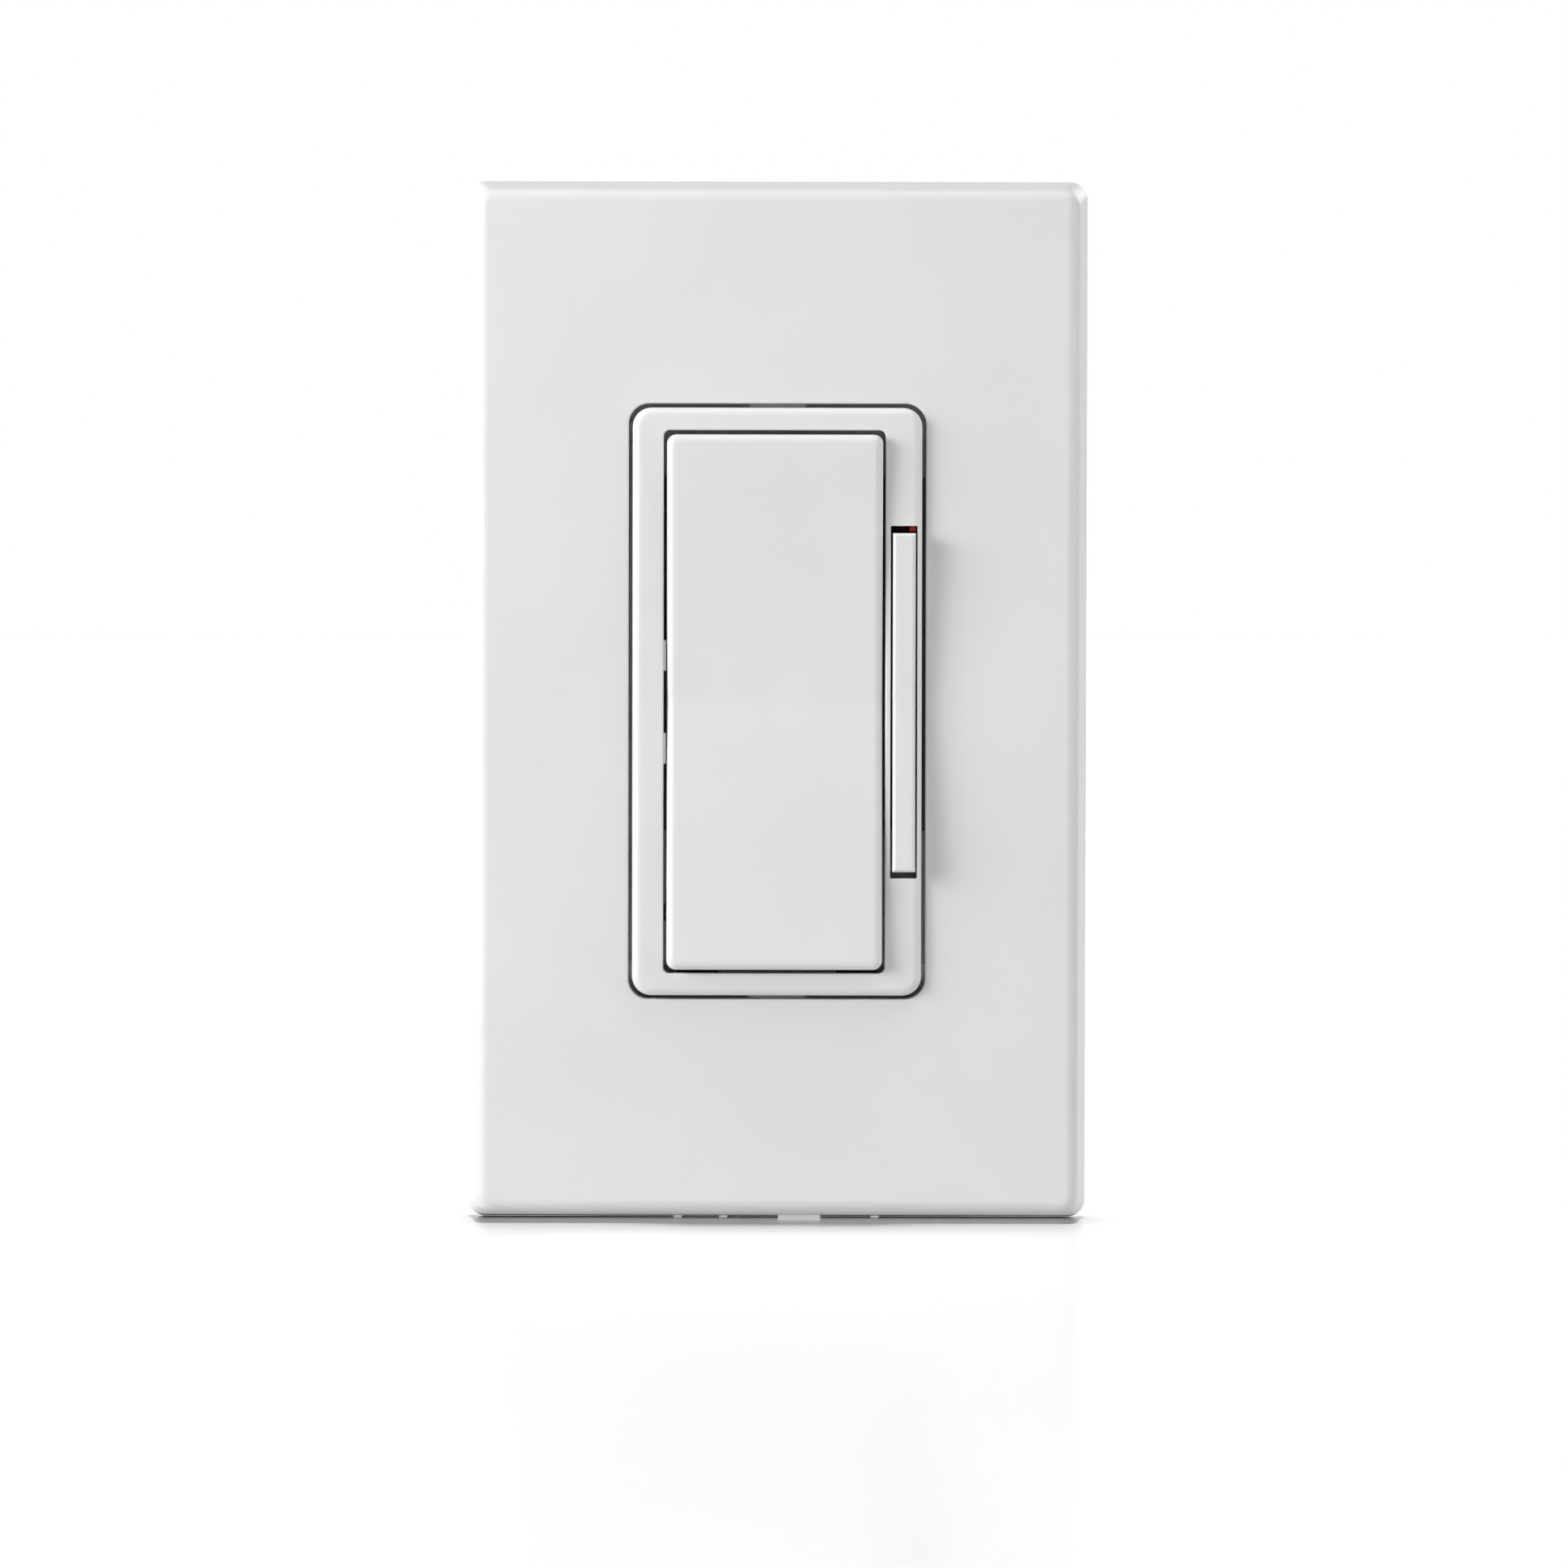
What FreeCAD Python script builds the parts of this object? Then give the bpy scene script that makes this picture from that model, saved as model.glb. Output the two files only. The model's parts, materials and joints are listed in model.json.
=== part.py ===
import FreeCAD, Part
import math
import os

# Decorator-style electronic wall dimmer with its screwless wallplate, in millimetres.
# Front is -Y, the wall surface is y = 0, +X is right and +Z is up. The origin is on the wall
# surface, midway between the two device screws. Pairs are (low, high) along their axis.

V = FreeCAD.Vector

# Wallplate: a snap-fit cover over a screwed sub-plate
COVER_W, COVER_H, COVER_DEPTH = 70.0, 117.2, 6.5
COVER_TAPER = 1.3
COVER_CORNER_R, COVER_EDGE_R = 2.0, 1.5
COVER_WALL, COVER_FACE_T = 1.7, 2.1
COVER_FRONT = -COVER_DEPTH
COVER_INNER = COVER_FRONT + COVER_FACE_T
OPENING_W, OPENING_H, OPENING_R, OPENING_EDGE_R = 33.3, 66.8, 2.3, 0.2
HOOK_L, HOOK_T, HOOK_REACH = 8.0, 0.9, 0.7
HOOK_SIDE_Z, HOOK_END_X = 36.0, 17.0
PRY_X, PRY_T = (0.2, 5.0), 1.4
VENT_XS, VENT_W, VENT_T = (-11.2, -6.0, 11.2), 0.9, 0.5

# Mounting strap
STRAP_T = 1.3
STRAP_FRONT = -STRAP_T
STRAP_BODY_W, STRAP_BODY_H, STRAP_EAR_W, STRAP_H, STRAP_R = 44.4, 78.6, 33.0, 106.3, 1.5
WINDOW_X, WINDOW_Z = (-14.7, 17.6), (-14.7, 25.2)
DEVICE_SCREW_Z = 83.34 / 2
PLATE_SCREW_Z = 96.84 / 2
DEVICE_SLOT_W, DEVICE_SLOT_H = 6.6, 4.2
EAR_SCORE_X, EAR_SCORE_W, EAR_SCORE_D = 11.8, 0.6, 0.5
GROUND_TAB_X, GROUND_TAB_DEPTH = (-21.0, -13.0), 9.5

# Sub-plate
SUB_W, SUB_H, SUB_R, SUB_T, SUB_RIM = 64.2, 111.4, 1.4, 1.6, 1.6
SUB_FRONT = STRAP_FRONT - SUB_T
SUB_RIM_FRONT = COVER_INNER + 0.1
SUB_OPEN_W, SUB_OPEN_H = 34.2, 67.8
LUG_W, LUG_TIP_Z = 6.4, 33.05

# Six-thirty-two screws
THREAD_R, NECK_R = 1.75, 1.5
SNUG, SINK_PITCH = 0.05, 0.95
DEVICE_SCREW_LEN, DEVICE_HEAD_R, DEVICE_HEAD_T = 23.0, 3.4, 2.1
PLATE_SCREW_LEN, PLATE_HEAD_R, PLATE_BOSS_R = 9.5, 3.4, 5.0
PLATE_HEAD_FRONT = COVER_INNER + 0.25

# Face frame
FRAME_W, FRAME_H, FRAME_R, FRAME_EDGE_R = 32.4, 65.85, 2.15, 1.0
FRAME_FRONT, FRAME_PLATE_T = -7.8, 1.5
FRAME_PLATE_BACK = FRAME_FRONT + FRAME_PLATE_T
FRAME_SKIRT = 1.3
PADDLE_WINDOW_X, PADDLE_WINDOW_H, PADDLE_WINDOW_R = (-12.71, 12.10), 60.8, 0.7
WINDOW_EDGE_R = 0.18
SLOT_X, SLOT_H, SLOT_R = (12.67, 15.68), 39.46, 0.12
GUIDE_Z, GUIDE_L, GUIDE_PROUD = 5.2, 3.4, 0.26
FRAME_HOOK_X, FRAME_HOOK_W, FRAME_HOOK_Z = 9.0, 4.0, (30.9, 32.1)
FRAME_BARB, FRAME_BARB_T = 0.35, 0.85

# Paddle, a rocker with a shallow V face
PADDLE_X, PADDLE_HALF_H = (-12.32, 11.78), 29.9
PADDLE_END, PADDLE_MID, PADDLE_BACK = -9.6, -7.9, -4.4
PADDLE_CORNER_R, PADDLE_EDGE_R = 1.05, 0.95
PADDLE_FACE_T, PADDLE_SKIRT = 1.5, 1.2
PADDLE_PIVOT_Y, PADDLE_PIN_R = -4.1, 1.0
PADDLE_CX = (PADDLE_X[0] + PADDLE_X[1]) / 2
PADDLE_RIB_DX, RIB_T, RIB_BACK, CROSS_RIB_Z = 6.5, 1.2, -5.3, 22.0
EYE_WALL = 1.2
PADDLE_SWITCH_Z = 12.0

# Dim/bright bar, a narrow rocker in the slot
BAR_X, BAR_HALF_H = (12.93, 15.45), 18.92
BAR_END, BAR_MID, BAR_BACK = -9.5, -8.5, -4.9
BAR_EDGE_R = 0.4
BAR_WALL, BAR_FACE_T = 0.6, 1.2
BAR_PIVOT_Y, BAR_PIN_R, BAR_EYE_R = -4.6, 0.6, 1.6
BAR_CX = (BAR_X[0] + BAR_X[1]) / 2
BAR_SWITCH_Z = 9.0

RUN = 0.05
STEM_TOP = -2.5
STEM_GAP = 0.06
FOOT_BACK = STEM_TOP - STEM_GAP

# Switch chassis behind the strap
CHASSIS_X, CHASSIS_Z, CHASSIS_T = (-19.5, 19.5), (-16.0, 26.5), 1.5
WINDOW_CLEARANCE = 0.2
EAR_DX, EAR_T, EAR_FRONT = 8.1, 1.6, -5.5
POST_T, POST_FRONT = 1.0, -5.9
STANDOFFS = ((-17.0, 24.0), (-17.0, -14.3), (17.0, -14.3), (17.0, 14.5))
STANDOFF_R, STAKE_R = 1.5, 0.9

# Tact switches and control board
CONTROL_FRONT, BOARD_T = 6.0, 1.6
CONTROL_BACK = CONTROL_FRONT + BOARD_T
CONTROL_X, CONTROL_Z = (-18.8, 18.8), (-16.0, 26.5)
CONTROL_NOTCH_X, CONTROL_NOTCH_Z = 10.4, 18.4
SWITCH_W, SWITCH_BASE_T, SWITCH_COVER_T, SWITCH_LID_T = 6.0, 1.2, 2.4, 0.4
SWITCH_LEG_DX, SWITCH_LEG_DZ = 2.2, 3.25
SWITCH_BASE_FRONT = CONTROL_FRONT - SWITCH_BASE_T
SWITCH_COVER_FRONT = SWITCH_BASE_FRONT - SWITCH_COVER_T
PADDLE_STEM_R, BAR_STEM_R, STEM_COLLAR_R, STEM_COLLAR_Y = 1.6, 1.2, 2.2, (3.2, 4.2)
CHAMBER_R, STEM_RUN = 2.35, 0.08
# (x, z, stem radius) of each tact switch
SWITCHES = ((PADDLE_CX, PADDLE_SWITCH_Z, PADDLE_STEM_R), (PADDLE_CX, -PADDLE_SWITCH_Z, PADDLE_STEM_R),
            (BAR_CX, BAR_SWITCH_Z, BAR_STEM_R), (BAR_CX, -BAR_SWITCH_Z, BAR_STEM_R))

# Air-gap pull tab, its bridge and fixed contacts
AIR_NOSE_X, AIR_NOSE_FRONT = (14.8, 15.5), -6.5
AIR_BLADE_X, AIR_BLADE_Z, AIR_BLADE_FRONT = (12.95, 15.5), (19.12, 19.66), 0.6
AIR_BLADE_GAP = 0.12
AIR_BLOCK_X, AIR_BLOCK_Y, AIR_BLOCK_Z = (11.9, 16.5), (4.6, 8.4), (19.12, 23.6)
AIR_BRIDGE_T, AIR_BRIDGE_Z = 0.6, (19.9, 22.9)
AIR_GUIDE_T, AIR_GUIDE_GAP = 1.0, 0.2
AIR_CONTACT_XS, AIR_CONTACT_W, AIR_CONTACT_T = (12.7, 15.7), 1.4, 0.6

# Back housing
HOUSING_W, HOUSING_H, HOUSING_DEPTH, HOUSING_R = 44.0, 68.0, 30.0, 1.6
HOUSING_WALL = 1.5
HOUSING_INNER_X, HOUSING_INNER_Z = HOUSING_W / 2 - HOUSING_WALL, HOUSING_H / 2 - HOUSING_WALL
HOUSING_FLOOR = HOUSING_DEPTH - HOUSING_WALL
HOUSING_SCREWS = [(x, z) for x in (-18.5, 18.5) for z in (-30.5, 30.5)]
BOSS_R, BOSS_DEPTH, HOUSING_SCREW_R, HOUSING_SCREW_LEN = 2.3, 14.0, 1.2, 11.0
HOUSING_HEAD_R = 2.3
LABEL_W, LABEL_H, LABEL_D, LABEL_T = 26.0, 20.0, 0.3, 0.15
FLANGE_PROUD, FLANGE_T = 0.2, 1.8
GAUGE_Z, GAUGE_W, GAUGE_H, GAUGE_D = -24.0, 16.0, 2.4, 0.4
BACK_GROOVE_XS, BACK_GROOVE_Z, BACK_GROOVE_W, BACK_GROOVE_D = (-6.0, 0.0, 6.0), (19.0, 29.0), 1.0, 0.5
SIDE_GROOVE_ZS, SIDE_GROOVE_W, SIDE_GROOVE_D = (-26.0, 0.0, 26.0), 4.0, 0.5

# Side terminals, in pockets of the housing
TERMINALS = [(side, z) for side in (-1, 1) for z in (-12.0, 12.0)]
TERMINAL_Y = 16.0
POCKET_Y, POCKET_HALF_Z, POCKET_FLOOR_X, POCKET_WALL = (9.8, 22.8), 6.0, 17.8, 1.2
PLATE_X, PLATE_HALF_Z, PLATE_Y = (15.4, 16.4), 4.0, (11.5, 25.4)
PLATE_FOOT_HALF_Z = 1.5
CLAMP_X, CLAMP_W, CLAMP_L = (18.6, 19.7), 9.0, 9.5
TERMINAL_SCREW_R, TERMINAL_HEAD_R, TERMINAL_HEAD_T, TERMINAL_SCREW_LEN = 1.95, 4.0, 2.1, 5.0
WIRE_HOLE_R, WIRE_HOLE_X, WIRE_HOLE_DZ = 1.3, 19.25, 3.0
WIRE_FUNNEL_R, WIRE_FUNNEL_D = 2.0, 0.8

# Power board and what stands on it
POWER_FRONT = 25.4
POWER_BACK = POWER_FRONT + BOARD_T
POWER_HALF_X, POWER_HALF_Z = 19.8, 31.6
LEAD_R, LEAD_HOLE_R, LEAD_END = 0.4, 0.5, 27.6
FILM_T, FILM_FRONT, FILM_HALF_X, FILM_HALF_Z = 0.3, 28.0, 19.0, 27.0
SUPPORT_POSTS = [(x, z) for x in (-17.5, 17.5) for z in (-29.5, 29.5)]

CHOKE_X, CHOKE_Z, CHOKE_Y = -4.4, 19.6, (17.0, 24.2)
CHOKE_R, CHOKE_HOLE_R, CHOKE_TURNS, CHOKE_WIRE_R = 9.6, 5.4, 22, 0.42
FILM_CAP_X, FILM_CAP_Y, FILM_CAP_Z = (-4.0, 13.5), (11.0, 25.0), (-6.0, 2.0)
CAN_X, CAN_Z, CAN_R, CAN_Y = 10.6, 27.6, 4.1, (9.6, 25.2)
MOV_X, MOV_Y, MOV_Z, MOV_R, MOV_T = 9.4, 18.5, -14.0, 5.0, 4.0
FUSE_X, FUSE_Y, FUSE_Z, FUSE_R = (-10.5, -0.5), 22.6, -12.0, 2.0
BRIDGE_X, BRIDGE_Y, BRIDGE_Z = (-15.0, -6.6), (21.6, 25.0), (-25.5, -19.1)
RESISTORS, RESISTOR_R, RESISTOR_HALF_L, RESISTOR_Y = ((11.0, -22.5), (11.0, -27.0)), 1.6, 4.5, 23.2
MCU_X, MCU_Z, MCU_W, MCU_T = -9.0, 15.0, 7.0, 1.4
MCU_LEADS, MCU_PITCH = 8, 0.8
HEADER_X, HEADER_Z0, HEADER_PITCH, HEADER_PINS, HEADER_W, HEADER_T = -13.5, -6.35, 2.54, 6, 2.5, 2.5
PIN_HALF = 0.32

# Triac, flat against the strap behind an insulating pad
PAD_T = 0.3
TRIAC_Z, TRIAC_HALF_W = -24.0, 5.1
TRIAC_TAB_X, TRIAC_TAB_T, TRIAC_BODY_X, TRIAC_BODY_T = (-14.6, -8.3), 1.3, (-8.3, 0.9), 4.5
TRIAC_HOLE_X, TRIAC_HOLE_R, TRIAC_SCREW_R = -11.5, 1.95, 1.5
TRIAC_LEG_PITCH, TRIAC_LEG_HALF, TRIAC_LEG_X = 2.54, 0.4, 3.4
TRIAC_LEG_Y = 2.6
BUSH_R, BUSH_FLANGE_R, BUSH_FLANGE_T = 1.85, 2.9, 0.5


# Helpers


def block(x, y, z):
    return Part.makeBox(x[1] - x[0], y[1] - y[0], z[1] - z[0], V(x[0], y[0], z[0]))


def around(centre, half):
    return (centre - half, centre + half)


def side_x(side, x):
    """The (low, high) pair x, mirrored to the left when side is -1."""
    return x if side > 0 else (-x[1], -x[0])


def rod_x(r, x, y, z):
    return Part.makeCylinder(r, x[1] - x[0], V(x[0], y, z), V(1, 0, 0))


def rod_y(r, x, y, z):
    return Part.makeCylinder(r, y[1] - y[0], V(x, y[0], z), V(0, 1, 0))


def rod_z(r, x, y, z):
    return Part.makeCylinder(r, z[1] - z[0], V(x, y, z[0]), V(0, 0, 1))


def cone_y(r_low, r_high, x, y, z):
    return Part.makeCone(r_low, r_high, y[1] - y[0], V(x, y[0], z), V(0, 1, 0))


def edges_along(shape, direction):
    """The straight edges parallel to a direction."""
    found = []
    for edge in shape.Edges:
        if isinstance(edge.Curve, (Part.Line, Part.LineSegment)):
            if abs(abs(edge.tangentAt(edge.FirstParameter).dot(direction)) - 1) < 1e-6:
                found.append(edge)
    return found


def edges_at_y(shape, y):
    return [e for e in shape.Edges if abs(e.BoundBox.YMin - y) < 1e-4 and abs(e.BoundBox.YMax - y) < 1e-4]


def slab(w, h, r, y, x=0.0, z=0.0):
    """A plate w wide and h high with rounded corners, between two depths."""
    plate = block(around(x, w / 2), y, around(z, h / 2))
    return plate.makeFillet(r, edges_along(plate, V(0, 1, 0)))


def slot_plate(x, h, r, y):
    """A slab given by its X pair, centred on Z = 0."""
    return slab(x[1] - x[0], h, r, y, x=(x[0] + x[1]) / 2)


def yz_prism(points, x):
    """A prism along X from (y, z) points."""
    outline = [V(x[0], y, z) for y, z in points]
    face = Part.Face(Part.makePolygon(outline + outline[:1]))
    return face.extrude(V(x[1] - x[0], 0, 0))


def joined(shapes):
    return shapes[0].multiFuse(shapes[1:]).removeSplitter()


def group(shapes):
    return Part.makeCompound(shapes)


def wire_run(points, r):
    """Round wire through the points, with ball corners."""
    parts = [Part.makeCylinder(r, a.distanceToPoint(b), a, b - a) for a, b in zip(points, points[1:])]
    parts += [Part.makeSphere(r, p) for p in points[1:-1]]
    return joined(parts)


def screw(head_r, head_t, shank_r, length, neck=None):
    """A slotted pan-head screw along +Y, its head bearing on y = 0. neck is (radius, length)."""
    head = Part.makeCylinder(head_r, head_t, V(0, -head_t, 0), V(0, 1, 0))
    head = head.makeFillet(head_t * 0.45, edges_at_y(head, -head_t))
    start = neck[1] if neck else 0.0
    shank = Part.makeCylinder(shank_r, length - start, V(0, start, 0), V(0, 1, 0))
    shank = shank.makeChamfer(shank_r * 0.3, edges_at_y(shank, length))
    pieces = [head, shank]
    if neck:
        pieces.append(Part.makeCylinder(neck[0], neck[1], V(0, 0, 0), V(0, 1, 0)))
    drive = block(around(0, head_r + 1), (-head_t - 1, -head_t * 0.5), around(0, head_r * 0.13))
    return joined(pieces).cut(drive)


def sink_depth(head_r, shank_r):
    return (head_r - shank_r) * SINK_PITCH


def screw_sink(head_r, shank_r, x, front, z):
    """The clearance for a countersunk screw: a way in, the cone and the shank's hole."""
    bottom = front + sink_depth(head_r, shank_r)
    return joined([rod_y(head_r + SNUG, x, (front - 6, front), z),
                   cone_y(head_r + SNUG, shank_r + SNUG, x, (front, bottom), z),
                   rod_y(shank_r + SNUG, x, (bottom, bottom + 8), z)])


def flat_screw(head_r, shank_r, length):
    """A countersunk cross-recessed screw along +Y, its head flush with y = 0."""
    head_t = sink_depth(head_r, shank_r)
    head = cone_y(head_r, shank_r, 0, (0, head_t), 0)
    shank = Part.makeCylinder(shank_r, length - head_t, V(0, head_t, 0), V(0, 1, 0))
    shank = shank.makeChamfer(shank_r * 0.3, edges_at_y(shank, length))
    arm = head_r * 0.55
    recess = joined([block(around(0, arm), (-1, head_t * 0.6), around(0, arm * 0.26)),
                     block(around(0, arm * 0.26), (-1, head_t * 0.6), around(0, arm))])
    return joined([head, shank]).cut(recess)


def pointing(shape, direction, position):
    """Turn a shape made along +Y to a direction, and move its zero to a position."""
    turned = shape.copy()
    turned.Placement = FreeCAD.Placement(position, FreeCAD.Rotation(V(0, 1, 0), direction))
    return turned


# Wallplate


def frustum(inset, y, corner_r):
    """The cover's tapered outline, inset all round, between a back and a front depth."""
    wires = []
    for depth in y:
        shrink = inset - COVER_TAPER * depth / COVER_DEPTH
        x, z = COVER_W / 2 - shrink, COVER_H / 2 - shrink
        corners = [V(-x, depth, -z), V(x, depth, -z), V(x, depth, z), V(-x, depth, z)]
        wires.append(Part.makePolygon(corners + corners[:1]))
    solid = Part.makeLoft(wires, True, True)
    slanted = [e for e in solid.Edges if e.BoundBox.YLength > 1]
    return solid.makeFillet(corner_r, slanted)


def snap_hook(x, z, along):
    """A hook on the cover's inner wall that catches behind the sub-plate's edge."""
    half_x = HOOK_L / 2 if along == "x" else HOOK_REACH + 0.8
    half_z = HOOK_L / 2 if along == "z" else HOOK_REACH + 0.8
    return block(around(x, half_x), around(STRAP_FRONT + 0.05 + HOOK_T / 2, HOOK_T / 2), around(z, half_z))


def wallplate_cover():
    body = frustum(0, (0, COVER_FRONT), COVER_CORNER_R)
    body = body.makeFillet(COVER_EDGE_R, edges_at_y(body, COVER_FRONT))
    body = body.cut(frustum(COVER_WALL, (1.0, COVER_INNER), COVER_CORNER_R - 0.8))
    opening = slab(OPENING_W, OPENING_H, OPENING_R, (COVER_FRONT - 1, 0))
    body = body.cut(opening)
    rim = [e for e in edges_at_y(body, COVER_FRONT)
           if abs(e.CenterOfMass.x) < OPENING_W / 2 + 0.1 and abs(e.CenterOfMass.z) < OPENING_H / 2 + 0.1]
    body = body.makeFillet(OPENING_EDGE_R, rim)
    hooks = []
    for sign in (-1, 1):
        edge_x, edge_z = SUB_W / 2 + 0.8, SUB_H / 2 + 0.8
        hooks += [snap_hook(sign * edge_x, z, "z") for z in (-HOOK_SIDE_Z, HOOK_SIDE_Z)]
        hooks += [snap_hook(x, sign * edge_z, "x") for x in (-HOOK_END_X, HOOK_END_X)]
    body = joined([body] + hooks)
    bottom = (-COVER_H / 2 - 1, -COVER_H / 2 + 3)
    body = body.cut(block(PRY_X, (-PRY_T, 1), bottom))
    for x in VENT_XS:
        body = body.cut(block(around(x, VENT_W / 2), (-VENT_T, 1), bottom))
    return body


def wallplate_subplate():
    plate = slab(SUB_W, SUB_H, SUB_R, (SUB_RIM_FRONT, STRAP_FRONT))
    tray = slab(SUB_W - 2 * SUB_RIM, SUB_H - 2 * SUB_RIM, SUB_R / 2, (SUB_RIM_FRONT - 1, SUB_FRONT))
    plate = plate.cut(tray)
    boss_y = (PLATE_HEAD_FRONT + 0.1, STRAP_FRONT)
    bosses = [rod_y(PLATE_BOSS_R, 0, boss_y, z) for z in (-PLATE_SCREW_Z, PLATE_SCREW_Z)]
    plate = joined([plate] + bosses)
    plate = plate.cut(slab(SUB_OPEN_W, SUB_OPEN_H, 2.0, (-10, 0)))
    lugs = []
    for sign in (-1, 1):
        z = sorted((sign * LUG_TIP_Z, sign * (SUB_OPEN_H / 2 + 2.0)))
        lugs.append(block(around(0, LUG_W / 2), (SUB_RIM_FRONT, STRAP_FRONT), z))
    plate = joined([plate] + lugs)
    for sign in (-1, 1):
        z = sign * PLATE_SCREW_Z
        plate = plate.cut(screw_sink(PLATE_HEAD_R, THREAD_R, 0, PLATE_HEAD_FRONT, z))
        plate = plate.cut(rod_y(DEVICE_HEAD_R + 1.0, 0, (-10, 0), sign * DEVICE_SCREW_Z))
    return plate


def subplate_screws():
    one = flat_screw(PLATE_HEAD_R, THREAD_R - RUN, PLATE_SCREW_LEN)
    places = [V(0, PLATE_HEAD_FRONT, z) for z in (PLATE_SCREW_Z, -PLATE_SCREW_Z)]
    return group([pointing(one, V(0, 1, 0), place) for place in places])


# Strap and its screws


def mounting_strap():
    y = (STRAP_FRONT, 0)
    plate = joined([slab(STRAP_BODY_W, STRAP_BODY_H, STRAP_R, y), slab(STRAP_EAR_W, STRAP_H, STRAP_R, y)])
    tab_z = (-STRAP_BODY_H / 2, -STRAP_BODY_H / 2 + STRAP_T)
    tab = block(GROUND_TAB_X, (STRAP_FRONT, GROUND_TAB_DEPTH), tab_z)
    plate = joined([plate, tab])
    ground_x = (GROUND_TAB_X[0] + GROUND_TAB_X[1]) / 2
    cuts = [block(WINDOW_X, (-3, 1), WINDOW_Z), rod_z(THREAD_R + 0.05, ground_x, 5.2, (-42, -36)),
            rod_y(TRIAC_SCREW_R + 0.02, TRIAC_HOLE_X, (-3, 1), TRIAC_Z)]
    score_y = (-3, STRAP_FRONT + EAR_SCORE_D)
    slot_r = DEVICE_SLOT_H / 2 - 0.01
    for sign in (-1, 1):
        cuts.append(slab(DEVICE_SLOT_W, DEVICE_SLOT_H, slot_r, (-3, 1), z=sign * DEVICE_SCREW_Z))
        cuts.append(rod_y(THREAD_R, 0, (-3, 1), sign * PLATE_SCREW_Z))
        hook_z = sorted((sign * (FRAME_HOOK_Z[0] - 0.3), sign * (FRAME_HOOK_Z[1] + 0.1)))
        score_z = sorted((sign * (STRAP_BODY_H / 2 + 1.5), sign * (STRAP_H / 2 + 1)))
        for x in (-1, 1):
            cuts.append(block(around(x * FRAME_HOOK_X, FRAME_HOOK_W / 2 + 0.3), (-3, 1), hook_z))
            cuts.append(block(around(x * EAR_SCORE_X, EAR_SCORE_W / 2), score_y, score_z))
    for x, z in HOUSING_SCREWS:
        cuts.append(screw_sink(HOUSING_HEAD_R, HOUSING_SCREW_R, x, STRAP_FRONT, z))
    for cutter in cuts:
        plate = plate.cut(cutter)
    return plate


def device_screws():
    length = DEVICE_SCREW_LEN + STRAP_T
    one = screw(DEVICE_HEAD_R, DEVICE_HEAD_T, THREAD_R, length, neck=(NECK_R, STRAP_T))
    places = [V(0, STRAP_FRONT, z) for z in (DEVICE_SCREW_Z, -DEVICE_SCREW_Z)]
    return group([pointing(one, V(0, 1, 0), place) for place in places])


def screw_retainers():
    """Grommets that fill the strap's slots round the screws' necks."""
    w, h = DEVICE_SLOT_W - 0.1, DEVICE_SLOT_H - 0.1
    grommets = []
    for z in (DEVICE_SCREW_Z, -DEVICE_SCREW_Z):
        pad = slab(w, h, h / 2 - 0.01, (STRAP_FRONT, 0), z=z)
        grommets.append(pad.cut(rod_y(NECK_R + 0.02, 0, (-2, 2), z)))
    return group(grommets)


def ground_screw():
    one = screw(3.8, 2.2, THREAD_R, 3.8)
    x = (GROUND_TAB_X[0] + GROUND_TAB_X[1]) / 2
    return pointing(one, V(0, 0, 1), V(x, 5.2, -STRAP_BODY_H / 2))


# Face frame, paddle and bar


def face_frame():
    frame = slab(FRAME_W, FRAME_H, FRAME_R, (FRAME_FRONT, STRAP_FRONT))
    frame = frame.makeFillet(FRAME_EDGE_R, edges_at_y(frame, FRAME_FRONT))
    inner_z = FRAME_H / 2 - FRAME_SKIRT
    hollow = block((-FRAME_W / 2 + FRAME_SKIRT, SLOT_X[1]), (FRAME_PLATE_BACK, 0), (-inner_z, inner_z))
    divider_y = (FRAME_PLATE_BACK, STRAP_FRONT - 0.2)
    divider = block((PADDLE_WINDOW_X[1], SLOT_X[0]), divider_y, (-inner_z, inner_z))
    frame = frame.cut(hollow.cut(divider))
    frame = frame.cut(slot_plate(PADDLE_WINDOW_X, PADDLE_WINDOW_H, PADDLE_WINDOW_R, (-9, FRAME_PLATE_BACK)))
    half_h = PADDLE_WINDOW_H / 2
    window = FreeCAD.BoundBox(PADDLE_WINDOW_X[0], -9, -half_h, PADDLE_WINDOW_X[1], 0, half_h)
    window.enlarge(0.01)
    rim = [e for e in edges_at_y(frame, FRAME_FRONT) if window.isInside(e.BoundBox)]
    frame = frame.makeFillet(WINDOW_EDGE_R, rim)
    frame = frame.cut(slot_plate(SLOT_X, SLOT_H, SLOT_R, (-9, FRAME_PLATE_BACK)))
    extras = []
    guide_x = (PADDLE_WINDOW_X[0] - 0.5, PADDLE_WINDOW_X[0] + GUIDE_PROUD)
    guide_y = (FRAME_FRONT + 0.25, FRAME_PLATE_BACK)
    for sign in (-1, 1):
        extras.append(block(guide_x, guide_y, around(sign * GUIDE_Z, GUIDE_L / 2)))
        leg_z = sorted((sign * FRAME_HOOK_Z[0], sign * FRAME_HOOK_Z[1]))
        barb_z = sorted((sign * FRAME_HOOK_Z[0], sign * (FRAME_HOOK_Z[1] + FRAME_BARB)))
        for x in (-FRAME_HOOK_X, FRAME_HOOK_X):
            half = FRAME_HOOK_W / 2
            extras.append(block(around(x, half), (FRAME_PLATE_BACK, 0.05 + FRAME_BARB_T), leg_z))
            extras.append(block(around(x, half), (0.05, 0.05 + FRAME_BARB_T), barb_z))
    return joined([frame] + extras)


def vee(half_h, end, mid, back):
    """(y, z) outline of a rocker: proud ends, a crease at mid-height, and a flat back."""
    return [(end, -half_h), (mid, 0), (end, half_h), (back, half_h), (back, -half_h)]


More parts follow.
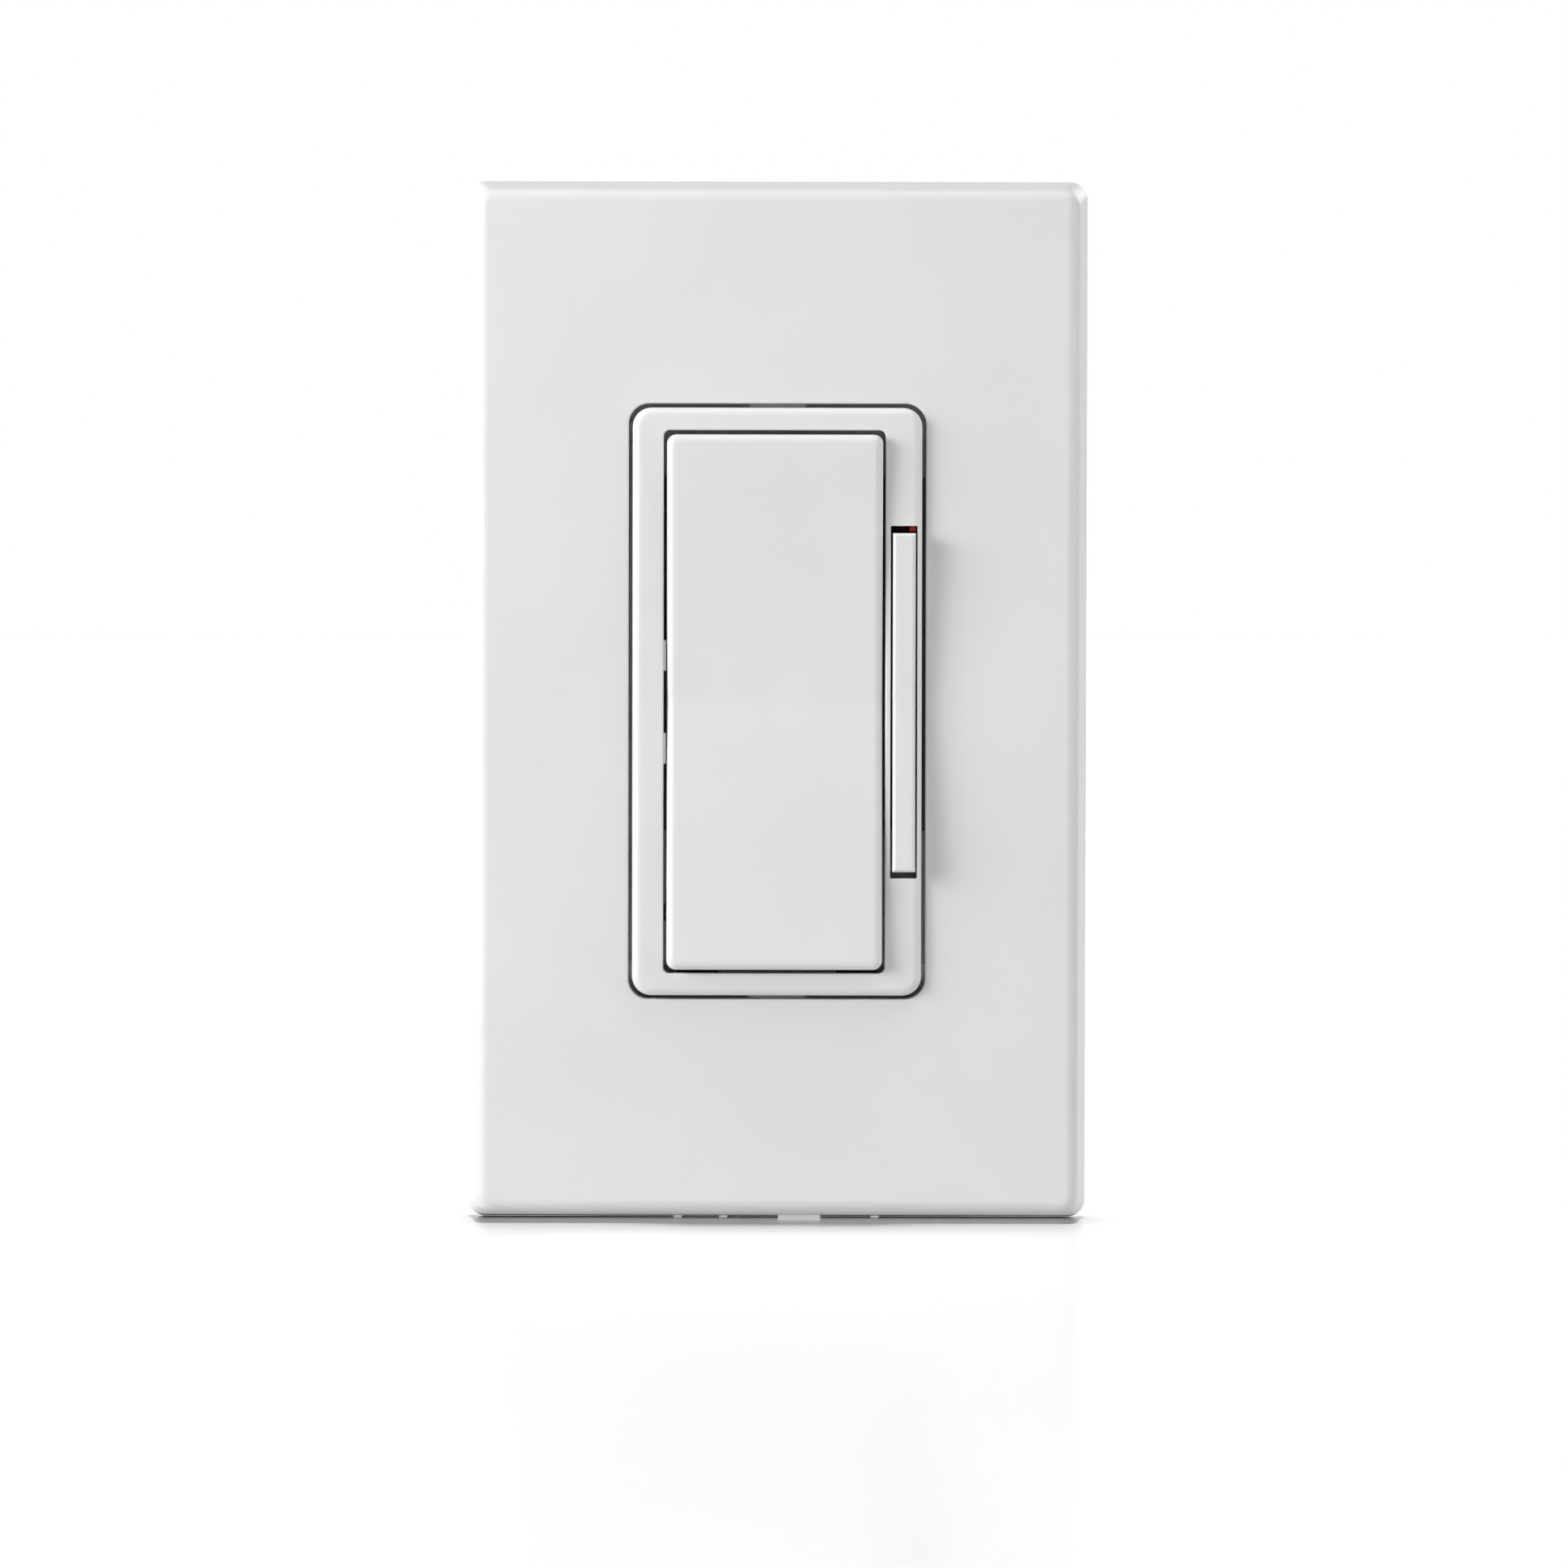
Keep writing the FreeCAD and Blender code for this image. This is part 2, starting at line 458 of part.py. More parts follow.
def front_edges(shape, behind):
    """The edges that bound a rocker's V face, all in front of a depth, except its crease."""
    edges = []
    for edge in shape.Edges:
        bounds = edge.BoundBox
        crease = bounds.XLength > 1 and abs(edge.CenterOfMass.z) < 0.1
        if bounds.YMax < behind and bounds.ZLength + bounds.XLength > 0.2 and not crease:
            edges.append(edge)
    return edges


def paddle():
    body = yz_prism(vee(PADDLE_HALF_H, PADDLE_END, PADDLE_MID, PADDLE_BACK), PADDLE_X)
    body = body.makeFillet(PADDLE_CORNER_R, edges_along(body, V(0, 1, 0)))
    body = body.makeFillet(PADDLE_EDGE_R, front_edges(body, PADDLE_MID + 0.5))
    inner_x = (PADDLE_X[0] + PADDLE_SKIRT, PADDLE_X[1] - PADDLE_SKIRT)
    inner_h = PADDLE_HALF_H - PADDLE_SKIRT
    inner_end, inner_mid = PADDLE_END + PADDLE_FACE_T + 0.1, PADDLE_MID + PADDLE_FACE_T
    body = body.cut(yz_prism(vee(inner_h, inner_end, inner_mid, 0), inner_x))
    rib_front = inner_mid - 0.2
    cross_x, cross_y = (inner_x[0] - 0.3, inner_x[1] + 0.3), (rib_front - 0.4, RIB_BACK)
    ribs = []
    for dx in (-PADDLE_RIB_DX, PADDLE_RIB_DX):
        x = around(PADDLE_CX + dx, RIB_T / 2)
        eye = rod_x(PADDLE_PIN_R + EYE_WALL, x, PADDLE_PIVOT_Y, 0)
        neck = block(x, (rib_front, PADDLE_PIVOT_Y), around(0, PADDLE_PIN_R + EYE_WALL))
        ribs += [yz_prism(vee(inner_h + 0.3, PADDLE_END + 1.0, PADDLE_MID + 1.0, RIB_BACK), x), eye, neck]
    for z in (-CROSS_RIB_Z, -PADDLE_SWITCH_Z, PADDLE_SWITCH_Z, CROSS_RIB_Z):
        ribs.append(block(cross_x, cross_y, around(z, RIB_T / 2)))
    for z in (-PADDLE_SWITCH_Z, PADDLE_SWITCH_Z):
        ribs.append(rod_y(PADDLE_STEM_R, PADDLE_CX, (rib_front - 0.4, FOOT_BACK), z))
    body = joined([body] + ribs)
    mouth = PADDLE_PIN_R * 0.8
    body = body.cut(rod_x(PADDLE_PIN_R + RUN, inner_x, PADDLE_PIVOT_Y, 0))
    return body.cut(block(inner_x, (PADDLE_PIVOT_Y, 0), (-mouth, mouth)))


def paddle_pivot_pin():
    return rod_x(PADDLE_PIN_R, around(PADDLE_CX, EAR_DX + EAR_T / 2), PADDLE_PIVOT_Y, 0)


def dim_bar():
    body = yz_prism(vee(BAR_HALF_H, BAR_END, BAR_MID, BAR_BACK), BAR_X)
    body = body.makeFillet(BAR_EDGE_R, front_edges(body, BAR_MID + 0.5))
    channel = (BAR_X[0] + BAR_WALL, BAR_X[1] - BAR_WALL)
    hollow = yz_prism(vee(BAR_HALF_H - 1.2, BAR_END + BAR_FACE_T, BAR_MID + BAR_FACE_T, 0), channel)
    eyes = [rod_x(BAR_EYE_R, x, BAR_PIVOT_Y, 0) for x in ((BAR_X[0], channel[0]), (channel[1], BAR_X[1]))]
    feet = []
    for z in (-BAR_SWITCH_Z, BAR_SWITCH_Z):
        feet.append(block((channel[0] - 0.2, channel[1] + 0.2), (BAR_MID, FOOT_BACK), around(z, 1.2)))
    body = joined([body.cut(hollow)] + eyes + feet)
    return body.cut(rod_x(BAR_PIN_R + 0.01, (BAR_X[0] - 1, BAR_X[1] + 1), BAR_PIVOT_Y, 0))


def bar_pivot_pin():
    return rod_x(BAR_PIN_R, (BAR_X[0] + 0.02, BAR_X[1] - 0.02), BAR_PIVOT_Y, 0)


# Switch chassis, tact switches and control board


def switch_chassis():
    plate = block(CHASSIS_X, (0, CHASSIS_T), CHASSIS_Z)
    plateau_x = (WINDOW_X[0] + WINDOW_CLEARANCE, WINDOW_X[1] - WINDOW_CLEARANCE)
    plateau_z = (WINDOW_Z[0] + WINDOW_CLEARANCE, WINDOW_Z[1] - WINDOW_CLEARANCE)
    plateau = block(plateau_x, (STRAP_FRONT, 0), plateau_z)
    pieces = [plate, plateau]
    for dx in (-EAR_DX, EAR_DX):
        x = around(PADDLE_CX + dx, EAR_T / 2)
        pieces.append(block(x, (EAR_FRONT, STRAP_FRONT), around(0, 2.6)))
    pieces.append(block(around(BAR_CX, POST_T / 2), (POST_FRONT, STRAP_FRONT), around(0, 1.5)))
    for x, z in STANDOFFS:
        pieces.append(rod_y(STANDOFF_R, x, (CHASSIS_T, CONTROL_FRONT), z))
        pieces.append(rod_y(STAKE_R, x, (CONTROL_FRONT, CONTROL_BACK + 0.4), z))
    guide_z = (AIR_BLOCK_Z[0] - AIR_GUIDE_GAP, AIR_BLOCK_Z[1] + AIR_GUIDE_GAP)
    low_x = AIR_BLOCK_X[0] - AIR_GUIDE_GAP
    high_x = AIR_BLOCK_X[1] + AIR_GUIDE_GAP
    for x in ((low_x - AIR_GUIDE_T, low_x), (high_x, high_x + AIR_GUIDE_T)):
        pieces.append(block(x, (CHASSIS_T, AIR_BLOCK_Y[1]), guide_z))
    chassis = joined(pieces)
    chassis = chassis.cut(rod_x(PADDLE_PIN_R + 0.01, around(PADDLE_CX, 12), PADDLE_PIVOT_Y, 0))
    chassis = chassis.cut(rod_x(BAR_PIN_R + RUN, around(BAR_CX, 1.5), BAR_PIVOT_Y, 0))
    for x, z, r in SWITCHES:
        chassis = chassis.cut(rod_y(r + STEM_RUN, x, (-3, 3), z))
    blade_x = (AIR_BLADE_X[0] - AIR_BLADE_GAP, AIR_BLADE_X[1] + AIR_BLADE_GAP)
    blade_z = (AIR_BLADE_Z[0] - AIR_BLADE_GAP, AIR_BLADE_Z[1] + AIR_BLADE_GAP)
    return chassis.cut(block(blade_x, (-3, 3), blade_z))


def tact_switch_covers():
    covers = []
    for x, z, r in SWITCHES:
        half = SWITCH_W / 2
        can = slab(SWITCH_W, SWITCH_W, 0.5, (SWITCH_COVER_FRONT, SWITCH_BASE_FRONT), x, z)
        chamber = rod_y(CHAMBER_R, x, (SWITCH_COVER_FRONT + SWITCH_LID_T, SWITCH_BASE_FRONT), z)
        hole = rod_y(r + STEM_RUN, x, (SWITCH_COVER_FRONT - 1, SWITCH_BASE_FRONT), z)
        can = can.cut(chamber).cut(hole)
        for dx in (-half + 0.9, half - 0.9):
            for dz in (-half + 0.9, half - 0.9):
                dimple = Part.makeSphere(0.35, V(x + dx, SWITCH_COVER_FRONT - 0.1, z + dz))
                can = can.cut(dimple)
        covers.append(can)
    return group(covers)


def leg_places():
    """Where the tact switches' legs pass through the control board, as lists of (x, z) per switch."""
    corners = [(dx, dz) for dx in (-SWITCH_LEG_DX, SWITCH_LEG_DX) for dz in (-SWITCH_LEG_DZ, SWITCH_LEG_DZ)]
    return [[(x + dx, z + dz) for dx, dz in corners] for x, z, _ in SWITCHES]


def tact_switch_bases():
    bases = []
    leg_y = (CONTROL_FRONT - 0.6, CONTROL_BACK + 0.8)
    for (x, z, _), places in zip(SWITCHES, leg_places()):
        base = slab(SWITCH_W, SWITCH_W, 0.5, (SWITCH_BASE_FRONT, CONTROL_FRONT), x, z)
        legs = [block(around(leg_x, 0.35), leg_y, around(leg_z, 0.25)) for leg_x, leg_z in places]
        bases.append(joined([base] + legs))
    return group(bases)


def stem(x, z, r):
    shaft = rod_y(r, x, (STEM_TOP, STEM_COLLAR_Y[0]), z)
    shaft = shaft.makeFillet(0.2, edges_at_y(shaft, STEM_TOP))
    return joined([shaft, rod_y(STEM_COLLAR_R, x, STEM_COLLAR_Y, z)])


def header_places():
    return [HEADER_Z0 + i * HEADER_PITCH for i in range(HEADER_PINS)]


def control_board():
    board = block(CONTROL_X, (CONTROL_FRONT, CONTROL_BACK), CONTROL_Z)
    board = board.cut(block((CONTROL_NOTCH_X, 20), (5, 9), (CONTROL_NOTCH_Z, 30)))
    for x, z in STANDOFFS:
        board = board.cut(rod_y(STAKE_R + 0.1, x, (5, 9), z))
    for places in leg_places():
        for x, z in places:
            board = board.cut(block(around(x, 0.45), (5, 9), around(z, 0.35)))
    for z in header_places():
        board = board.cut(rod_y(0.5, HEADER_X, (5, 9), z))
    return board


def microcontroller():
    y = (CONTROL_BACK + 0.1, CONTROL_BACK + MCU_T)
    half = MCU_W / 2
    body = block(around(MCU_X, half), y, around(MCU_Z, half))
    body = body.makeChamfer(0.2, edges_at_y(body, y[1]))
    pieces = [body]
    first = -(MCU_LEADS - 1) / 2 * MCU_PITCH
    for i in range(MCU_LEADS):
        offset = first + i * MCU_PITCH
        for sign in (-1, 1):
            reach = sorted((sign * (half - 0.1), sign * (half + 0.5)))
            foot = sorted((sign * (half + 0.3), sign * (half + 1.0)))
            arm_y, foot_y = (y[0] + 0.5, y[0] + 0.65), (CONTROL_BACK, CONTROL_BACK + 0.15)
            riser = sorted((sign * (half + 0.3), sign * (half + 0.5)))
            for span, depth in ((reach, arm_y), (riser, (foot_y[0], arm_y[1])), (foot, foot_y)):
                x = (MCU_X + span[0], MCU_X + span[1])
                z = (MCU_Z + span[0], MCU_Z + span[1])
                pieces.append(block(x, depth, around(MCU_Z + offset, 0.15)))
                pieces.append(block(around(MCU_X + offset, 0.15), depth, z))
    return joined(pieces)


def board_header():
    z = (HEADER_Z0 - HEADER_PITCH / 2, HEADER_Z0 + (HEADER_PINS - 0.5) * HEADER_PITCH)
    body = block(around(HEADER_X, HEADER_W / 2), (CONTROL_BACK, CONTROL_BACK + HEADER_T), z)
    for place in header_places():
        body = body.cut(block(around(HEADER_X, PIN_HALF + 0.01), (7, 12), around(place, PIN_HALF + 0.01)))
    return body


def header_pins():
    y = (CONTROL_FRONT - 0.6, LEAD_END)
    return group([block(around(HEADER_X, PIN_HALF), y, around(z, PIN_HALF)) for z in header_places()])


# Air-gap switch


def air_gap_tab():
    nose = block(AIR_NOSE_X, (AIR_NOSE_FRONT, AIR_BLADE_FRONT), AIR_BLADE_Z)
    nose = nose.makeFillet(0.12, edges_at_y(nose, AIR_NOSE_FRONT))
    blade = block(AIR_BLADE_X, (AIR_BLADE_FRONT, AIR_BLOCK_Y[0]), AIR_BLADE_Z)
    carrier = block(AIR_BLOCK_X, AIR_BLOCK_Y, AIR_BLOCK_Z)
    carrier = carrier.makeFillet(0.4, edges_along(carrier, V(0, 1, 0)))
    return joined([nose, blade, carrier])


def air_gap_bridge():
    y = (AIR_BLOCK_Y[1], AIR_BLOCK_Y[1] + AIR_BRIDGE_T)
    return block((AIR_BLOCK_X[0] + 0.1, AIR_BLOCK_X[1] - 0.1), y, AIR_BRIDGE_Z)


def air_gap_contacts():
    contacts = []
    top = AIR_BLOCK_Y[1] + AIR_BRIDGE_T + 0.02
    for x in AIR_CONTACT_XS:
        width = around(x, AIR_CONTACT_W / 2)
        pad = block(width, (top, top + AIR_CONTACT_T), AIR_BRIDGE_Z)
        leg_z = (AIR_BRIDGE_Z[1] - AIR_CONTACT_T, AIR_BRIDGE_Z[1])
        leg = block(width, (top, POWER_FRONT), leg_z)
        foot = block(around(x, 0.4), (POWER_FRONT, LEAD_END), leg_z)
        contacts.append(joined([pad, leg, foot]))
    return group(contacts)


# Housing and terminals


def back_housing():
    shell = slab(HOUSING_W, HOUSING_H, HOUSING_R, (0, HOUSING_DEPTH))
    shell = shell.makeFillet(HOUSING_R * 0.8, edges_at_y(shell, HOUSING_DEPTH))
    flange = slab(HOUSING_W + 2 * FLANGE_PROUD, HOUSING_H + 2 * FLANGE_PROUD, HOUSING_R, (0, FLANGE_T))
    shell = joined([shell, flange])
    inner_x, inner_z = (-HOUSING_INNER_X, HOUSING_INNER_X), (-HOUSING_INNER_Z, HOUSING_INNER_Z)
    shell = shell.cut(block(inner_x, (-1, HOUSING_FLOOR), inner_z))
    wall_y = (POCKET_Y[0] - POCKET_WALL, POCKET_Y[1] + POCKET_WALL)
    solids = []
    for side, z in TERMINALS:
        x = side_x(side, (POCKET_FLOOR_X - POCKET_WALL, HOUSING_INNER_X))
        solids.append(block(x, wall_y, around(z, POCKET_HALF_Z + POCKET_WALL)))
    solids += [rod_y(BOSS_R, x, (0, BOSS_DEPTH), z) for x, z in HOUSING_SCREWS]
    solids += [rod_y(1.5, x, (POWER_BACK, HOUSING_FLOOR), z) for x, z in SUPPORT_POSTS]
    shell = joined([shell] + solids)
    cuts = [rod_y(HOUSING_SCREW_R, x, (-1, HOUSING_SCREW_LEN + 0.5), z) for x, z in HOUSING_SCREWS]
    cuts.append(slab(LABEL_W, LABEL_H, 1.0, (HOUSING_DEPTH - LABEL_D, HOUSING_DEPTH + 1)))
    cuts.append(slab(GAUGE_W, GAUGE_H, 0.5, (HOUSING_DEPTH - GAUGE_D, HOUSING_DEPTH + 1), z=GAUGE_Z))
    back_groove_y = (HOUSING_DEPTH - BACK_GROOVE_D, HOUSING_DEPTH + 1)
    for x in BACK_GROOVE_XS:
        cuts.append(block(around(x, BACK_GROOVE_W / 2), back_groove_y, BACK_GROOVE_Z))
    for side in (-1, 1):
        groove_x = side_x(side, (HOUSING_W / 2 - SIDE_GROOVE_D, HOUSING_W / 2 + 1))
        for z in SIDE_GROOVE_ZS:
            groove_y = (FLANGE_T + 2, HOUSING_DEPTH - 4)
            cuts.append(block(groove_x, groove_y, around(z, SIDE_GROOVE_W / 2)))
    for side, z in TERMINALS:
        mouth = side_x(side, (POCKET_FLOOR_X, HOUSING_W / 2 + 1))
        cuts.append(block(mouth, POCKET_Y, around(z, POCKET_HALF_Z)))
        cuts.append(rod_x(TERMINAL_SCREW_R + 0.15, side_x(side, (16, 18.5)), TERMINAL_Y, z))
        for dz in (-WIRE_HOLE_DZ, WIRE_HOLE_DZ):
            cuts.append(rod_y(WIRE_HOLE_R, side * WIRE_HOLE_X, (22, HOUSING_DEPTH + 1), z + dz))
            funnel_y = (HOUSING_DEPTH - WIRE_FUNNEL_D, HOUSING_DEPTH)
            cuts.append(cone_y(WIRE_HOLE_R, WIRE_FUNNEL_R, side * WIRE_HOLE_X, funnel_y, z + dz))
    for cutter in cuts:
        shell = shell.cut(cutter)
    return shell


def rating_label():
    back = HOUSING_DEPTH - LABEL_D
    return slab(LABEL_W - 0.6, LABEL_H - 0.6, 0.8, (back, back + LABEL_T))


def housing_screws():
    one = flat_screw(HOUSING_HEAD_R, HOUSING_SCREW_R - 0.02, HOUSING_SCREW_LEN)
    return group([pointing(one, V(0, 1, 0), V(x, STRAP_FRONT, z)) for x, z in HOUSING_SCREWS])


def terminal_plates():
    plates = []
    for side, z in TERMINALS:
        x = side_x(side, PLATE_X)
        plate = block(x, PLATE_Y, around(z, PLATE_HALF_Z))
        foot = block(x, (PLATE_Y[1], LEAD_END), around(z, PLATE_FOOT_HALF_Z))
        hole = rod_x(TERMINAL_SCREW_R + 0.02, side_x(side, (15, 17)), TERMINAL_Y, z)
        plates.append(joined([plate, foot]).cut(hole))
    return group(plates)


def terminal_clamps():
    clamps = []
    for side, z in TERMINALS:
        y = around(TERMINAL_Y, CLAMP_W / 2)
        clamp = block(side_x(side, CLAMP_X), y, around(z, CLAMP_L / 2))
        clamp = clamp.makeFillet(1.0, edges_along(clamp, V(1, 0, 0)))
        for dz in (-WIRE_HOLE_DZ, WIRE_HOLE_DZ):
            groove = rod_y(0.9, side * (CLAMP_X[0] - 0.4), y, z + dz)
            clamp = clamp.cut(groove)
        clamps.append(clamp.cut(rod_x(TERMINAL_SCREW_R + 0.1, side_x(side, (18, 20)), TERMINAL_Y, z)))
    return group(clamps)


def terminal_screw(side, z):
    one = screw(TERMINAL_HEAD_R, TERMINAL_HEAD_T, TERMINAL_SCREW_R, TERMINAL_SCREW_LEN)
    return pointing(one, V(-side, 0, 0), V(side * CLAMP_X[1], TERMINAL_Y, z))


def terminal_screws_brass():
    return group([terminal_screw(1, 12.0), terminal_screw(1, -12.0)])


def terminal_screw_black():
    return terminal_screw(-1, 12.0)


def terminal_screw_silver():
    return terminal_screw(-1, -12.0)


# Power board and its components


def lead_places():
    """Where each round component lead passes through the power board, as (x, z)."""
    places = [(FILM_CAP_X[0] + 1.5, -2.0), (FILM_CAP_X[1] - 1.5, -2.0)]
    places += [(CAN_X - 2.5, CAN_Z), (CAN_X + 2.5, CAN_Z)]
    places += [(MOV_X - 3.0, MOV_Z), (MOV_X + 3.0, MOV_Z)]
    places += [(FUSE_X[0] - 1.5, FUSE_Z), (FUSE_X[1] + 1.5, FUSE_Z)]
    for x, z in RESISTORS:
        places += [(x - RESISTOR_HALF_L - 1.2, z), (x + RESISTOR_HALF_L + 1.2, z)]
    places += [(BRIDGE_X[0] + 1.0 + i * 2.1, (BRIDGE_Z[0] + BRIDGE_Z[1]) / 2) for i in range(4)]
    return places + [(x, z) for x, z in choke_leads()]


def choke_leads():
    reach = CHOKE_R + CHOKE_WIRE_R + 0.05
    step = 2 * math.pi / CHOKE_TURNS
    return [(CHOKE_X + reach * math.cos(a), CHOKE_Z + reach * math.sin(a)) for a in (0, step)]


def power_board():
    y = (POWER_FRONT - 1, POWER_BACK + 1)
    board = slab(2 * POWER_HALF_X, 2 * POWER_HALF_Z, 1.0, (POWER_FRONT, POWER_BACK))
    for x, z in lead_places():
        board = board.cut(rod_y(LEAD_HOLE_R, x, y, z))
    for z in header_places():
        board = board.cut(rod_y(LEAD_HOLE_R, HEADER_X, y, z))
    for i in (-1, 0, 1):
        leg_z = TRIAC_Z + i * TRIAC_LEG_PITCH
        board = board.cut(rod_y(0.7, TRIAC_LEG_X, y, leg_z))
    for side, z in TERMINALS:
        x = side_x(side, (PLATE_X[0] - 0.1, PLATE_X[1] + 0.1))
        board = board.cut(block(x, y, around(z, PLATE_FOOT_HALF_Z + 0.1)))
    for x in AIR_CONTACT_XS:
        foot_z = (AIR_BRIDGE_Z[1] - AIR_CONTACT_T - 0.1, AIR_BRIDGE_Z[1] + 0.1)
        board = board.cut(block(around(x, 0.5), y, foot_z))
    return board


def standing_leads(places, start):
    return [rod_y(LEAD_R, x, (start, LEAD_END), z) for x, z in places]


def film_capacitor():
    body = block(FILM_CAP_X, FILM_CAP_Y, FILM_CAP_Z)
    body = body.makeFillet(0.6, edges_along(body, V(0, 1, 0)))
    return joined([body] + standing_leads(lead_places()[0:2], FILM_CAP_Y[1] - 1))


def electrolytic_capacitor():
    can = rod_y(CAN_R, CAN_X, CAN_Y, CAN_Z)
    can = can.makeFillet(0.6, edges_at_y(can, CAN_Y[0]))
    groove = rod_y(CAN_R + 1, CAN_X, around(CAN_Y[1] - 2.2, 0.5), CAN_Z)
    groove = groove.cut(rod_y(CAN_R - 0.35, CAN_X, around(CAN_Y[1] - 2.2, 1.0), CAN_Z))
    return joined([can.cut(groove)] + standing_leads(lead_places()[2:4], CAN_Y[1] - 1))


def varistor():
    disc = rod_z(MOV_R, MOV_X, MOV_Y, around(MOV_Z, MOV_T / 2))
    disc = disc.makeFillet(1.2, [e for e in disc.Edges if isinstance(e.Curve, Part.Circle)])
    return joined([disc] + standing_leads(lead_places()[4:6], MOV_Y + 2))


def axial(x, y, z, r, places):
    """An axial component along X with both leads bent back through the board."""
    body = rod_x(r, x, y, z)
    body = body.makeFillet(r * 0.3, [e for e in body.Edges if isinstance(e.Curve, Part.Circle)])
    (low, _), (high, _) = places
    left = wire_run([V(x[0] + 0.5, y, z), V(low, y, z), V(low, LEAD_END, z)], LEAD_R)
    right = wire_run([V(x[1] - 0.5, y, z), V(high, y, z), V(high, LEAD_END, z)], LEAD_R)
    return joined([body, left, right])


def fuse():
    return axial(FUSE_X, FUSE_Y, FUSE_Z, FUSE_R, lead_places()[6:8])


def resistors():
    places = lead_places()[8:12]
    pieces = []
    for i, (x, z) in enumerate(RESISTORS):
        span = around(x, RESISTOR_HALF_L)
        pieces.append(axial(span, RESISTOR_Y, z, RESISTOR_R, places[2 * i:2 * i + 2]))
    return group(pieces)


def bridge_rectifier():
    body = block(BRIDGE_X, BRIDGE_Y, BRIDGE_Z)
    body = body.makeChamfer(0.4, edges_at_y(body, BRIDGE_Y[0]))
    return joined([body] + standing_leads(lead_places()[12:16], BRIDGE_Y[1] - 1))


def choke_core():
    ring = rod_y(CHOKE_R, CHOKE_X, CHOKE_Y, CHOKE_Z).cut(rod_y(CHOKE_HOLE_R, CHOKE_X, CHOKE_Y, CHOKE_Z))
    return ring.makeFillet(0.7, [e for e in ring.Edges if isinstance(e.Curve, Part.Circle)])


def rounded_loop(low, high, r):
    """A closed rounded rectangle in the XY plane from two opposite corners."""
    (x0, y0), (x1, y1) = low, high
    centres = ((x1 - r, y0 + r), (x1 - r, y1 - r), (x0 + r, y1 - r), (x0 + r, y0 + r))
    arcs = []
    for quarter, (x, y) in enumerate(centres):
        angles = [math.pi / 2 * (quarter - 1 + step / 2) for step in range(3)]
        arcs.append([V(x + r * math.cos(a), y + r * math.sin(a), 0) for a in angles])
    edges = []
    for arc, following in zip(arcs, arcs[1:] + arcs[:1]):
        edges.append(Part.Arc(*arc).toShape())
        edges.append(Part.LineSegment(arc[2], following[0]).toShape())
    return Part.Wire(edges)


def choke_winding():
    gap = CHOKE_WIRE_R + 0.05
    low = (CHOKE_HOLE_R - gap, CHOKE_Y[0] - gap)
    high = (CHOKE_R + gap, CHOKE_Y[1] + gap)
    path = rounded_loop(low, high, 1.0)
    start = V((low[0] + high[0]) / 2, low[1], 0)
    profile = Part.Face(Part.Wire(Part.makeCircle(CHOKE_WIRE_R, start, V(1, 0, 0))))
    straight = Part.Wire([path.Edges[-1]] + path.Edges[:-1])
    turn = straight.makePipe(profile)
    turns = []
    for i in range(CHOKE_TURNS):
        one = turn.copy()
        one.rotate(V(0, 0, 0), V(0, 1, 0), -360.0 / CHOKE_TURNS * i)
        one.translate(V(CHOKE_X, 0, CHOKE_Z))
        if i < 2:
            x, z = choke_leads()[i]
            one = one.fuse(rod_y(LEAD_R, x, (CHOKE_Y[1] - 1, LEAD_END), z))
        turns.append(one)
    return group(turns)


def insulating_film():
    return slab(2 * FILM_HALF_X, 2 * FILM_HALF_Z, 2.0, (FILM_FRONT, FILM_FRONT + FILM_T))


# Triac


def triac():
    z = around(TRIAC_Z, TRIAC_HALF_W)
    tab = block(TRIAC_TAB_X, (PAD_T, PAD_T + TRIAC_TAB_T), z)
    tab = tab.cut(rod_y(TRIAC_HOLE_R, TRIAC_HOLE_X, (0, 3), TRIAC_Z))
    body = block(TRIAC_BODY_X, (PAD_T, PAD_T + TRIAC_BODY_T), z)
    body = body.makeChamfer(0.5, edges_at_y(body, PAD_T + TRIAC_BODY_T))
    pieces = [tab, body]
    for i in (-1, 0, 1):
        leg_z = around(TRIAC_Z + i * TRIAC_LEG_PITCH, TRIAC_LEG_HALF)
        leg_x = around(TRIAC_LEG_X, TRIAC_LEG_HALF * 0.7)
        pieces.append(block((TRIAC_BODY_X[1] - 0.5, leg_x[1]), (TRIAC_LEG_Y, TRIAC_LEG_Y + 0.55), leg_z))
        pieces.append(block(leg_x, (TRIAC_LEG_Y, LEAD_END), leg_z))
    return joined(pieces)


def triac_pad():
    x = (TRIAC_TAB_X[0] - 1.0, TRIAC_BODY_X[1] + 1.0)
    pad = block(x, (0, PAD_T), around(TRIAC_Z, TRIAC_HALF_W + 0.8))
    return pad.cut(rod_y(BUSH_R + 0.05, TRIAC_HOLE_X, (-1, 1), TRIAC_Z))


def triac_bushing():
    tab_back = PAD_T + TRIAC_TAB_T
    sleeve = rod_y(BUSH_R, TRIAC_HOLE_X, (0.05, tab_back), TRIAC_Z)
    flange = rod_y(BUSH_FLANGE_R, TRIAC_HOLE_X, (tab_back, tab_back + BUSH_FLANGE_T), TRIAC_Z)
    return joined([sleeve, flange]).cut(rod_y(TRIAC_SCREW_R + 0.02, TRIAC_HOLE_X, (-1, 5), TRIAC_Z))


def triac_screw():
    bearing = PAD_T + TRIAC_TAB_T + BUSH_FLANGE_T
    one = screw(2.7, 1.9, TRIAC_SCREW_R, bearing + STRAP_T)
    return pointing(one, V(0, -1, 0), V(TRIAC_HOLE_X, bearing, TRIAC_Z))


